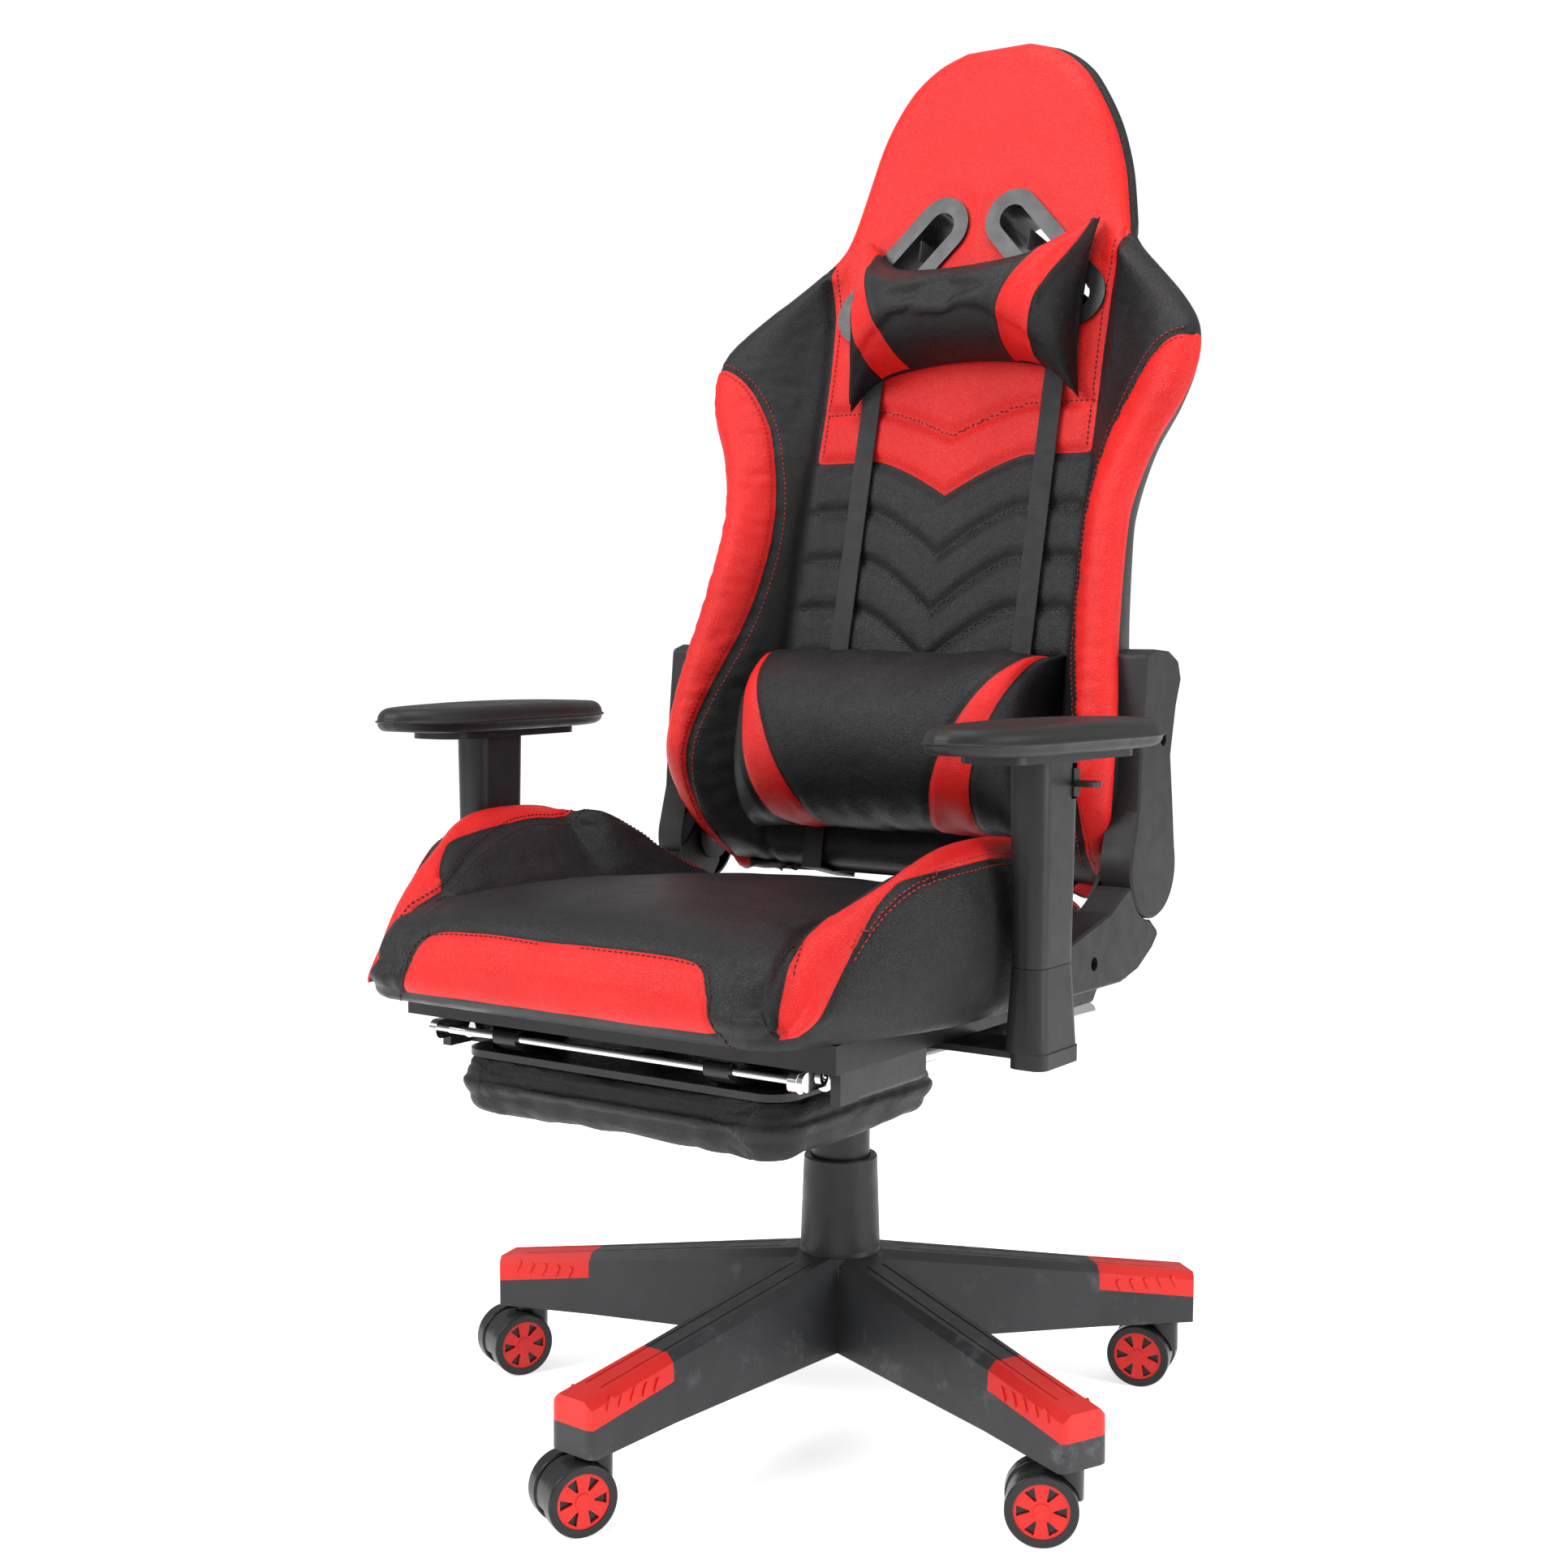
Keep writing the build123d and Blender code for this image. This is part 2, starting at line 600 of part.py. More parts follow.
# ================================================================ seat cushion
seat_side = ((-352, CUSHION_Z), (-388, CUSHION_Z + 6), (-402, 452), (-403, 476), (-388, 494),
             (-300, 510), (-110, 504), (50, 489), (65, 474), (65, CUSHION_Z))
bolster_side = ((-380, CUSHION_Z + 10), (-388, 480), (-350, 520), (-310, 545), (-262, 560),
                (-219, 565), (-153, 566), (-96, 558), (-48, 538), (15, 507), (60, 487),
                (65, CUSHION_Z + 10))
with BuildPart() as seat_cushion:
    with BuildSketch(cross_plane(-262)):
        Polygon(*seat_side, align=None)
    extrude(amount=524)
    for across in (-262, 196):
        with BuildSketch(cross_plane(across)):
            Polygon(*bolster_side, align=None)
        extrude(amount=66)
    with BuildSketch():
        Polygon((-150, -405), (150, -405), (196, -385), (228, -320), (262, -225), (262, -122),
                (225, -106), (224, 70), (-224, 70), (-225, -106), (-262, -122), (-262, -225),
                (-228, -320), (-196, -385), align=None)
    extrude(amount=700, mode=Mode.INTERSECT)
    for side in (1, -1):
        with BuildSketch(Plane.XZ.offset(-200)):
            Polygon((side * 150, 512), (side * 196, 512), (side * 226, 590), (side * 150, 590),
                    align=None)
        extrude(amount=700, mode=Mode.SUBTRACT)
write(seat_cushion, "seat_cushion")

# ================================================================ footrest
rail_slope = (RAIL_FRONT[1] - RAIL_BACK[1]) / (RAIL_BACK[0] - RAIL_FRONT[0])


def rail_z(y):
    return RAIL_FRONT[1] + (RAIL_FRONT[0] - y) * rail_slope


def rail_plane(x, y):
    """Plane square to a rail, its normal towards the back along the rail."""
    return Plane(origin=(x, y, rail_z(y)), x_dir=(1, 0, 0), z_dir=(0, 1, -rail_slope))


GUIDES = ((-287.0, 99.0), (-40.0, 60.0))         # (front end, length) of each pair of guides
with BuildPart() as footrest_guides:
    for front, length in GUIDES:
        for x in (-RAIL_X, RAIL_X):
            outer = 4 if x > 0 else -4
            with BuildSketch(Plane(origin=(x + outer, front, 0), x_dir=(-1, 0, 0),
                                   z_dir=(0, 1, 0))):
                with Locations((0, FRAME_Z - 15)):
                    RectangleRounded(34, 30, 4)
            extrude(amount=length)
    for side in (1, -1):
        with BuildSketch(cross_plane(side * 194)):
            with Locations((-299.5, FRAME_Z - 15)):
                Rectangle(26, 30)
        extrude(amount=side * 9)
    for front, length in GUIDES:
        for x in (-RAIL_X, RAIL_X):
            with BuildSketch(rail_plane(x, front - 5)):
                Circle(RAIL_RADIUS + RUNNING)
            extrude(amount=length + 10, mode=Mode.SUBTRACT)
    with BuildSketch(cross_plane(-300)):
        Polygon((-230, 360), (-170, 360), (-170, 384), (-196, 373), align=None)
    extrude(amount=600, mode=Mode.SUBTRACT)
write(footrest_guides, "footrest_guides")

CROSS_ROD_RADIUS = 3.5
FIXING_Y = -312.5                 # screws that hold the upright plates to the rails
with BuildPart() as footrest_frame:
    for side in (1, -1):
        x = side * RAIL_X
        with BuildSketch(rail_plane(x, -303.0)):
            Circle(RAIL_RADIUS)
        extrude(amount=RAIL_BACK[0] + 303.0)
        with BuildSketch(cross_plane(x - side * 4)):
            with Locations((-318, FRONT_PLATE_Z)):
                RectangleRounded(58, 16, 7)
        extrude(amount=side * 8)
        with BuildSketch(cross_plane(x + side * 4)):
            with Locations((ROD_Y, FRONT_PLATE_Z)):
                Circle(7.5)
            with Locations((FIXING_Y, FRONT_PLATE_Z)):
                Circle(5.8)
                RegularPolygon(3.0, 6, mode=Mode.SUBTRACT)
        extrude(amount=side * 2.5)
    with BuildSketch(cross_plane(-RAIL_X)):
        with Locations((ROD_Y, FRONT_PLATE_Z)):
            Circle(CROSS_ROD_RADIUS)
    extrude(amount=2 * RAIL_X)
write(footrest_frame, "footrest_frame")

PAD_Y = (-338.0, -106.0)
PAD_Z = (328.0, 382.0)
PAD_HALF = 168.0
BOARD_SEAT = 8.0                  # how far the board's underside lies below the top of the panel
with BuildPart() as footrest_pad:
    with BuildSketch(Plane.XY.offset(PAD_Z[0])):
        with Locations((0, sum(PAD_Y) / 2)):
            RectangleRounded(2 * PAD_HALF, PAD_Y[1] - PAD_Y[0], 26)
    extrude(amount=PAD_Z[1] - BOARD_SEAT - PAD_Z[0])
    chamfer(footrest_pad.edges().group_by(Axis.Z)[0], 12)
write(footrest_pad, "footrest_pad")

with BuildPart() as footrest_board:
    with BuildSketch(Plane.XY.offset(PAD_Z[1] - BOARD_SEAT)):
        with Locations((0, sum(PAD_Y) / 2)):
            RectangleRounded(2 * PAD_HALF - 8, PAD_Y[1] - PAD_Y[0] - 8, 24)
    extrude(amount=6)
    for x in (-120.0, 96.0):
        with BuildSketch(cross_plane(x)):
            with BuildLine():
                Polyline((ROD_Y - 6.5, FRONT_PLATE_Z), (ROD_Y - 4.5, 389.5), (-322, 380), (-290, 380),
                         (-290, 383.2), (-320, 383.2), (ROD_Y + 6.5, FRONT_PLATE_Z - 1),
                         (ROD_Y - 6.5, FRONT_PLATE_Z))
            make_face()
            with Locations((ROD_Y, FRONT_PLATE_Z)):
                Circle(6.5)
                Circle(CROSS_ROD_RADIUS + RUNNING, mode=Mode.SUBTRACT)
        extrude(amount=24)
write(footrest_board, "footrest_board")

# ================================================================ recliners and their covers
PIVOT_ROUND = 46.0
PIVOT_GAP = 1.2
PIN_RADIUS = 6.0
UPPER_BOLT = (120.0, 633.0)
LOWER_BOLT = (-11.0, 448.0)
BOLT_HOLE = 6.0                   # radius of the hole in a cover over its bolt
BOLT_RADIUS = 4.0
BOLT_HEAD = 5.6
COVER_WALL = 2.6
LEVER_PIN = (40.0, 463.0)


def pivot_point(angle, radius):
    """A point (y, z) at an angle round the recliner's pivot, from level towards the rear."""
    turn = radians(angle)
    return (RECLINE_AXIS[0] + radius * cos(turn), RECLINE_AXIS[1] + radius * sin(turn))


def upper_cover_face():
    """Outline of the cover on the back: a round foot, a waist and a leaning head."""
    with BuildSketch() as face:
        with BuildLine():
            foot = ThreePointArc(pivot_point(160, PIVOT_ROUND), pivot_point(268, PIVOT_ROUND),
                                 pivot_point(18, PIVOT_ROUND))
            Polyline(foot @ 1, (143, 578), (137, 618), (147, 662), (157, 686), (150, 703),
                     (132, 711), (100, 713), (84, 708), (77, 640), (72, 571), foot @ 0)
        make_face()
        fillet(vertices().filter_by(lambda corner: corner.Y > 560), 5)
    return face.sketch


def lower_cover_face():
    """Outline of the cover on the seat: a long flank that ends in a cradle round the pivot."""
    cradle = PIVOT_ROUND + PIVOT_GAP
    with BuildSketch() as face:
        with BuildLine():
            hollow = ThreePointArc(pivot_point(199, cradle), pivot_point(232, cradle),
                                   pivot_point(266, cradle))
            Polyline(hollow @ 1, (114, 464), (116, 458), (104, 447), (76, 432), (44, 425),
                     (-96, 426), (-100, 434), (-96, 455), (-50, 471), (20, 488), (48, 503),
                     (57, 506), hollow @ 0)
        make_face()
    return face.sketch


def cover_shell(face, hole):
    """A hollow shell on the +X side: outer wall, rim and stiffening ribs inside."""
    with BuildPart() as shell:
        with BuildSketch(cross_plane(COVER_X)):
            add(face)
        extrude(amount=COVER_OUTER - COVER_X)
        chamfer(shell.faces().sort_by(Axis.X)[-1].edges(), 2.0)
        with BuildSketch(cross_plane(COVER_X)):
            add(face)
            offset(amount=-COVER_WALL, mode=Mode.REPLACE)
        extrude(amount=COVER_OUTER - COVER_X - COVER_WALL, mode=Mode.SUBTRACT)
        with BuildSketch(cross_plane(COVER_X + 8)):
            with Locations(hole):
                Circle(BOLT_HOLE + 3)
        extrude(amount=COVER_OUTER - COVER_X - 9)
        with BuildSketch(cross_plane(COVER_X)):
            with Locations(hole):
                Circle(BOLT_HOLE)
        extrude(amount=60, mode=Mode.SUBTRACT)
    return shell.part


def rib_set(face, ribs, hole):
    """Straight ribs across the inside of a cover, kept clear of its bolt hole."""
    with BuildPart() as set_of_ribs:
        with BuildSketch(cross_plane(COVER_X + 6)):
            for y, z, length, lean in ribs:
                with Locations((y, z)):
                    Rectangle(length, 1.8, rotation=lean)
            add(face, mode=Mode.INTERSECT)
            with Locations(hole):
                Circle(BOLT_HOLE + 2, mode=Mode.SUBTRACT)
        extrude(amount=COVER_OUTER - COVER_X - 7.5)
    return set_of_ribs.part


upper_face = upper_cover_face()
lower_face = lower_cover_face()
upper_ribs = ((110, 600, 120, 90), (107, 670, 90, 0), (107, 585, 90, 0))
lower_ribs = ((-60, 448, 80, 60), (-35, 448, 80, 60), (15, 455, 100, 60), (70, 455, 100, 60))

with BuildPart() as hinge_covers_upper:
    add(cover_shell(upper_face, UPPER_BOLT))
    add(rib_set(upper_face, upper_ribs, UPPER_BOLT))
    mirror(about=Plane.YZ)
write(hinge_covers_upper, "hinge_covers_upper")

with BuildPart() as hinge_covers_lower:
    add(cover_shell(lower_face, LOWER_BOLT))
    add(rib_set(lower_face, lower_ribs, LOWER_BOLT))
    mirror(about=Plane.YZ)
    with BuildSketch(cross_plane(-COVER_OUTER - 1)):
        with Locations(LEVER_PIN):
            Circle(5 + RUNNING)
    extrude(amount=10, mode=Mode.SUBTRACT)
write(hinge_covers_lower, "hinge_covers_lower")

with BuildPart() as recliner_plates_lower:
    with BuildSketch(cross_plane(SEAT_PLATE_X)):
        with BuildLine():
            Polyline((-60, FRAME_Z), (50, FRAME_Z), (118, 492), (112, 540), (88, 540), (20, 470),
                     (-60, 462), (-60, FRAME_Z))
        make_face()
        fillet(vertices(), 8)
        with Locations(RECLINE_AXIS):
            Circle(26)
            Circle(PIN_RADIUS, mode=Mode.SUBTRACT)
        with Locations(LOWER_BOLT):
            Circle(BOLT_RADIUS, mode=Mode.SUBTRACT)
    extrude(amount=STEEL)
    mirror(about=Plane.YZ)
write(recliner_plates_lower, "recliner_plates_lower")

with BuildPart() as seat_fasteners:
    add(seat_bolts.part)
    with BuildSketch(cross_plane(225.5)):
        with Locations(LOWER_BOLT):
            Circle(BOLT_RADIUS)
    extrude(amount=13.5)
    with BuildSketch(cross_plane(239.0)):
        with Locations(LOWER_BOLT):
            Circle(BOLT_HEAD)
            RegularPolygon(3.0, 6, mode=Mode.SUBTRACT)
    extrude(amount=6)
    for y in (-50.0, 30.0):
        with BuildSketch(cross_plane(217.0)):
            with Locations((y, 415)):
                Rectangle(24, 16)
        extrude(amount=SEAT_PLATE_X - 217.0)
    with BuildSketch(cross_plane(ARM_PLATE_X)):
        with Locations(RECLINE_AXIS):
            Circle(PIN_RADIUS)
    extrude(amount=14)
    with BuildSketch(cross_plane(SEAT_PLATE_X + STEEL)):
        with Locations(RECLINE_AXIS):
            Circle(11)
    extrude(amount=5)
    mirror(about=Plane.YZ)
write(seat_fasteners, "seat_fasteners")

with BuildPart() as recliner_arms:
    with BuildSketch(cross_plane(ARM_PLATE_X)):
        with BuildLine():
            Polyline((84, 515), (126, 515), (138, 600), (140, 700), (104, 700), (94, 600),
                     (84, 515))
        make_face()
        fillet(vertices(), 9)
        with Locations(RECLINE_AXIS):
            Circle(24)
            Circle(PIN_RADIUS + RUNNING, mode=Mode.SUBTRACT)
        with Locations(UPPER_BOLT):
            Circle(BOLT_RADIUS, mode=Mode.SUBTRACT)
    extrude(amount=STEEL)
    mirror(about=Plane.YZ)
write(recliner_arms, "recliner_arms")

with BuildPart() as back_side_bolts:
    with BuildSketch(cross_plane(196.0)):
        with Locations(UPPER_BOLT):
            Circle(BOLT_RADIUS)
    extrude(amount=44)
    with BuildSketch(cross_plane(240.0)):
        with Locations(UPPER_BOLT):
            Circle(BOLT_HEAD)
            RegularPolygon(3.0, 6, mode=Mode.SUBTRACT)
    extrude(amount=6)
    mirror(about=Plane.YZ)
write(back_side_bolts, "back_side_bolts")

with BuildPart() as recline_lever:
    with BuildSketch(cross_plane(-COVER_OUTER - 1.5)):
        with Locations(LEVER_PIN):
            Circle(14)
        with Locations((-22, 456)):
            SlotOverall(140, 17, rotation=6)
    extrude(amount=-9)
    fillet(recline_lever.edges().group_by(Axis.X)[0], 2)
    with BuildSketch(cross_plane(-COVER_OUTER - 1.5)):
        with Locations(LEVER_PIN):
            Circle(5)
    extrude(amount=14)
write(recline_lever, "recline_lever")

# ================================================================ back
back_outline = ((196, -4), (208, 6), (220, 60), (221, 160), (217, 290), (229, 390), (252, 450),
                (268, 485), (268, 520), (240, 566), (196, 606), (160, 642), (149, 690), (137, 735),
                (112, 785), (78, 818), (30, 838))
wing_outline = ((198, 0), (226, 40), (243, 85), (243, 150), (228, 250), (222, 310), (229, 390),
                (252, 450), (268, 485), (266, 520), (235, 570), (190, 610))
back_profile = ((-4, 4), (14, 34), (40, 66), (84, 80), (150, 76), (310, 56), (475, 52), (520, 57),
                (570, 44), (620, 22), (660, 8), (838, 2), (840, -18), (825, -44), (700, BACK_REAR),
                (-4, BACK_REAR))
WING_FACE = 66.0                  # forward of this the wings are wider than the sides


def both_sides(points):
    """A closed outline from its points on the +X side, given from the foot up."""
    return list(points) + [(-x, up) for x, up in reversed(points)]


with BuildPart() as back_frame:
    with BuildSketch(back_plane(-30)):
        with Locations((0, 268)):
            RectangleRounded(372, 496, 60)
            RectangleRounded(328, 452, 42, mode=Mode.SUBTRACT)
        with Locations((0, 170), (0, 370)):
            Rectangle(340, 18)
        head_loop = both_sides(((154, 500), (154, 645), (126, 722), (92, 772), (40, 794)))
        with BuildSketch(mode=Mode.PRIVATE) as loop:
            Polygon(*head_loop, align=None)
            offset(amount=-11, mode=Mode.SUBTRACT)
        add(loop.sketch)
    extrude(amount=16)
    add(back_side_bolts.part, mode=Mode.SUBTRACT)
write(back_frame, "back_frame")


def harness_slots(half_width):
    """Both slanted harness holes as a sketch on the back's plane."""
    (low_x, low_up), (high_x, high_up) = HOLE_ENDS
    length = hypot(low_x - high_x, low_up - high_up)
    lean = degrees(atan2(high_up - low_up, high_x - low_x))
    with BuildSketch() as slots:
        for side in (1, -1):
            with Locations((side * (low_x + high_x) / 2, (low_up + high_up) / 2)):
                SlotCenterToCenter(length, 2 * half_width, rotation=side * lean)
    return slots.sketch


BEZEL_WALL = 3.0
BEZEL_FLANGE = 16.0
bezel_outer = harness_slots(HOLE_HALF + BEZEL_WALL)
bezel_flange = harness_slots(HOLE_HALF + BEZEL_FLANGE)
hole_face = harness_slots(HOLE_HALF)

with BuildPart() as backrest_shell:
    with BuildSketch(back_plane(BACK_REAR)):
        Polygon(*both_sides(back_outline), align=None)
    extrude(amount=WING_FACE - BACK_REAR)
    with BuildSketch(back_plane(WING_FACE)):
        Polygon(*both_sides(wing_outline), align=None)
    extrude(amount=30)
    with BuildSketch(back_side(-300)):
        Polygon(*back_profile, align=None)
    extrude(amount=600, mode=Mode.INTERSECT)
    with BuildSketch(back_plane(PANEL_FRONT)):
        Polygon((-PANEL_HALF, -40), (PANEL_HALF, -40), (PANEL_HALF, 640), (120, 680),
                (-120, 680), (-PANEL_HALF, 640), align=None)
    extrude(amount=90, taper=-38, mode=Mode.SUBTRACT)
    with BuildSketch(back_plane(BACK_REAR - 5)):
        add(bezel_outer)
    extrude(amount=80, mode=Mode.SUBTRACT)
    add(back_frame.part, mode=Mode.SUBTRACT)
    add(back_side_bolts.part, mode=Mode.SUBTRACT)
write(backrest_shell, "backrest_shell")

with BuildPart() as harness_bezels:
    with BuildSketch(back_plane(BACK_REAR)):
        add(bezel_outer)
    extrude(amount=PANEL_FRONT - BACK_REAR)
    for height in (BACK_REAR - 3.0, PANEL_FRONT):
        with BuildSketch(back_plane(height)):
            add(bezel_flange)
        extrude(amount=3.0)
    with BuildSketch(back_plane(BACK_REAR - 5)):
        add(hole_face)
    extrude(amount=80, mode=Mode.SUBTRACT)
write(harness_bezels, "harness_bezels")

# ================================================================ straps and loose cushions
STRAP_WIDTH = 21.0
STRAP_THICK = 1.6
STRAP_GAP = 0.4
LUMBAR_STRAPS = ((108.0, 566.0), (-95.0, 580.0))  # (x, height where each goes through its hole)

BEZEL_STAND = 3.0                 # how far the bezels' flanges stand off the back
strap_front = PANEL_FRONT + BEZEL_STAND + STRAP_GAP
strap_rear = BACK_REAR - BEZEL_STAND - STRAP_GAP
strap_foot = -4.0 - STRAP_GAP

with BuildPart() as harness_straps:
    for x, top in LUMBAR_STRAPS:
        with BuildSketch(back_side(x - STRAP_WIDTH / 2)):
            with Locations(((strap_foot + top) / 2, (strap_front + strap_rear) / 2)):
                Rectangle(top - strap_foot + 2 * STRAP_THICK,
                          strap_front - strap_rear + 2 * STRAP_THICK)
                Rectangle(top - strap_foot, strap_front - strap_rear, mode=Mode.SUBTRACT)
        extrude(amount=STRAP_WIDTH)
    with BuildSketch(back_plane(strap_rear - STRAP_THICK)):
        with Locations((0, 622)):
            Rectangle(124, 20)
    extrude(amount=STRAP_THICK)
    for x in (-61.2, 61.2):
        with BuildSketch(back_plane(strap_rear - STRAP_THICK)):
            with Locations((x, 622)):
                Rectangle(STRAP_THICK, 20)
        extrude(amount=strap_front - strap_rear + STRAP_THICK)
write(harness_straps, "harness_straps")

CUSHION_BACK = 11.5               # how far the loose cushions' backs stand off the face plane
with BuildPart() as lumbar_cushion:
    with BuildSketch(back_plane(CUSHION_BACK)):
        with Locations((0, 119)):
            RectangleRounded(330, 180, 30)
    extrude(amount=58)
    chamfer(lumbar_cushion.faces().sort_by(Axis.Y)[-1].edges(), 14)
write(lumbar_cushion, "lumbar_cushion")

with BuildPart() as headrest_pillow:
    with BuildSketch(back_plane(CUSHION_BACK)):
        with Locations((10, 546)):
            RectangleRounded(262, 158, 24)
    extrude(amount=46)
write(headrest_pillow, "headrest_pillow")

# ================================================================ arms
POST_HALF = (8.0, 19.0)           # inner steel post: half sizes across and along
SLEEVE_SIZE = (30.0, 60.0)
TRIGGER_Y = -137.5

with BuildPart() as arm_brackets:
    with BuildSketch(Plane.XY.offset(PLATE_Z)):
        with Locations(((ARM_X + 120) / 2 + 4, ARM_Y)):
            Rectangle(ARM_X - 120 + 8, 56)
    extrude(amount=PLATE_THICK)
    with BuildSketch(Plane.XY.offset(PLATE_Z + PLATE_THICK)):
        with Locations((ARM_X, ARM_Y)):
            Rectangle(2 * POST_HALF[0], 2 * POST_HALF[1])
    extrude(amount=POST_TOP - PLATE_Z - PLATE_THICK)
    mirror(about=Plane.YZ)
write(arm_brackets, "arm_brackets")

with BuildPart() as arm_posts:
    with BuildSketch(Plane.XY.offset(PLATE_Z + PLATE_THICK)):
        with Locations((ARM_X, ARM_Y)):
            RectangleRounded(SLEEVE_SIZE[0] + 6, SLEEVE_SIZE[1] + 8, 12)
    with BuildSketch(Plane.XY.offset(SLEEVE_BOTTOM - 0.5)):
        with Locations((ARM_X, ARM_Y)):
            RectangleRounded(SLEEVE_SIZE[0], SLEEVE_SIZE[1], 12)
    loft()
    with BuildSketch(Plane.XY.offset(PLATE_Z - 7)):
        with Locations((ARM_X + 3, ARM_Y)):
            RectangleRounded(SLEEVE_SIZE[0] + 2, SLEEVE_SIZE[1] + 6, 10)
    extrude(amount=7 + PLATE_THICK)
    add(arm_brackets.part, mode=Mode.SUBTRACT)
    mirror(about=Plane.YZ)
write(arm_posts, "arm_posts")


def make_arm(side, label):
    """The sliding sleeve with its top plate, its height trigger and the pad, on one side."""
    centre = (side * ARM_X, ARM_Y)
    slide_gap = 0.3
    toe_in = side * -4.0
    with BuildPart() as sleeve:
        with BuildSketch(Plane.XY.offset(SLEEVE_BOTTOM)):
            with Locations(centre):
                RectangleRounded(SLEEVE_SIZE[0], SLEEVE_SIZE[1], 12)
        with BuildSketch(Plane.XY.offset(SLEEVE_TOP)):
            with Locations(centre):
                RectangleRounded(SLEEVE_SIZE[0] + 4, SLEEVE_SIZE[1] + 5, 13)
        loft()
        with BuildSketch(Plane.XY.offset(SLEEVE_TOP)):
            with Locations(Location((side * ARM_X, ARM_Y + 8, 0), toe_in)):
                RectangleRounded(58, 190, 22)
        extrude(amount=PAD_BOTTOM - SLEEVE_TOP)
        with BuildSketch(Plane.XY.offset(SLEEVE_BOTTOM)):
            with Locations(centre):
                Rectangle(2 * (POST_HALF[0] + slide_gap), 2 * (POST_HALF[1] + slide_gap))
        extrude(amount=POST_TOP + 4 - SLEEVE_BOTTOM, mode=Mode.SUBTRACT)
        with BuildSketch(cross_plane(side * (ARM_X + 11.5))):
            with Locations((TRIGGER_Y, 613)):
                Rectangle(12.6, 28)
        extrude(amount=side * 20, mode=Mode.SUBTRACT)
    write(sleeve, f"arm_sleeve_{label}")
    with BuildPart() as trigger:
        with BuildSketch(cross_plane(side * (ARM_X + 11.8))):
            with Locations((TRIGGER_Y, 610)):
                Rectangle(12, 15)
        extrude(amount=side * 4.4)
        with BuildSketch(Plane.XY.offset(609)):
            with Locations((side * (ARM_X + 15), TRIGGER_Y)):
                Rectangle(6, 12)
            with Locations((side * (ARM_X + 27), TRIGGER_Y)):
                RectangleRounded(19, 18, 5)
        extrude(amount=4)
        with BuildSketch(cross_plane(side * (ARM_X + 16.2))):
            with Locations((TRIGGER_Y, 612)):
                Rectangle(10, 22)
        extrude(amount=side * 2)
    write(trigger, f"arm_trigger_{label}")
    with BuildPart() as pad:
        with BuildSketch(Plane.XY.offset(PAD_BOTTOM)):
            with Locations(Location((side * ARM_X, ARM_Y + 8, 0), toe_in)):
                Ellipse(46, 150)
        extrude(amount=PAD_TOP - PAD_BOTTOM)
        chamfer(pad.edges().group_by(Axis.Z)[-1], 5)
    write(pad, f"arm_pad_{label}")


make_arm(1, "left")
make_arm(-1, "right")
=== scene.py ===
"""The gaming chair's looks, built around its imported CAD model. Metres, +Z up; the chair faces -Y."""
import json
import math

import bmesh
import bpy
import numpy as np
from mathutils import Matrix, Vector, noise
from mathutils.bvhtree import BVHTree

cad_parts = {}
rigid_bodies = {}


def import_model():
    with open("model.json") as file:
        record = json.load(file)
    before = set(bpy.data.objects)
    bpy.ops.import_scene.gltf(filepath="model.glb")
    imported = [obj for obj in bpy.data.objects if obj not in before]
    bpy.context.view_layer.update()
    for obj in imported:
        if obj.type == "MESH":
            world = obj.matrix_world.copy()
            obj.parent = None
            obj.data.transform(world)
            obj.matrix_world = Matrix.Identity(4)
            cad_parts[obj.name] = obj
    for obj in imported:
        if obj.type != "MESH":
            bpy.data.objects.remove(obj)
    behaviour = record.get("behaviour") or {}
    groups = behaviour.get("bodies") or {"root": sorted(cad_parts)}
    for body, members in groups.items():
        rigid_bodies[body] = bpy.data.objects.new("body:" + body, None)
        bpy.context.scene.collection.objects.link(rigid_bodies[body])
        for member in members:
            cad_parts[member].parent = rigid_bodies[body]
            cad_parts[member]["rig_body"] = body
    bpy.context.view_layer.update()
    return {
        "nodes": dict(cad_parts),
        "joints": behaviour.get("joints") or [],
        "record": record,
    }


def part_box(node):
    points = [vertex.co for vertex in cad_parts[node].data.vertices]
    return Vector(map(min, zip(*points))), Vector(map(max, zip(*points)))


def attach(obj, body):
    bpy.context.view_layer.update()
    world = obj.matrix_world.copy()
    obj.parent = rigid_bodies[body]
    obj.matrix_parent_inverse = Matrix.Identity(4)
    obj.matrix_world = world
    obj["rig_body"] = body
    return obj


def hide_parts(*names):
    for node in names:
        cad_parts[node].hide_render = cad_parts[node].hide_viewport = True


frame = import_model()
nodes = frame["nodes"]

# ---------------------------------------------------------------- the back's own plane
FOOT = np.array((0.0, 0.100, 0.500))          # where the back's front plane meets its foot
RECLINE = math.radians(13.0)
UP = np.array((0.0, math.sin(RECLINE), math.cos(RECLINE)))
OUT = np.array((0.0, -math.cos(RECLINE), math.sin(RECLINE)))


def on_back(x, up, out):
    """Points from their place across the back, up it and out from its front plane."""
    x, up, out = np.broadcast_arrays(np.asarray(x, float), up, out)
    points = FOOT + up[..., None] * UP + out[..., None] * OUT
    points[..., 0] = x
    return points


def upright(x, y, z):
    x, y, z = np.broadcast_arrays(np.asarray(x, float), y, z)
    return np.stack((x, y, z), -1)


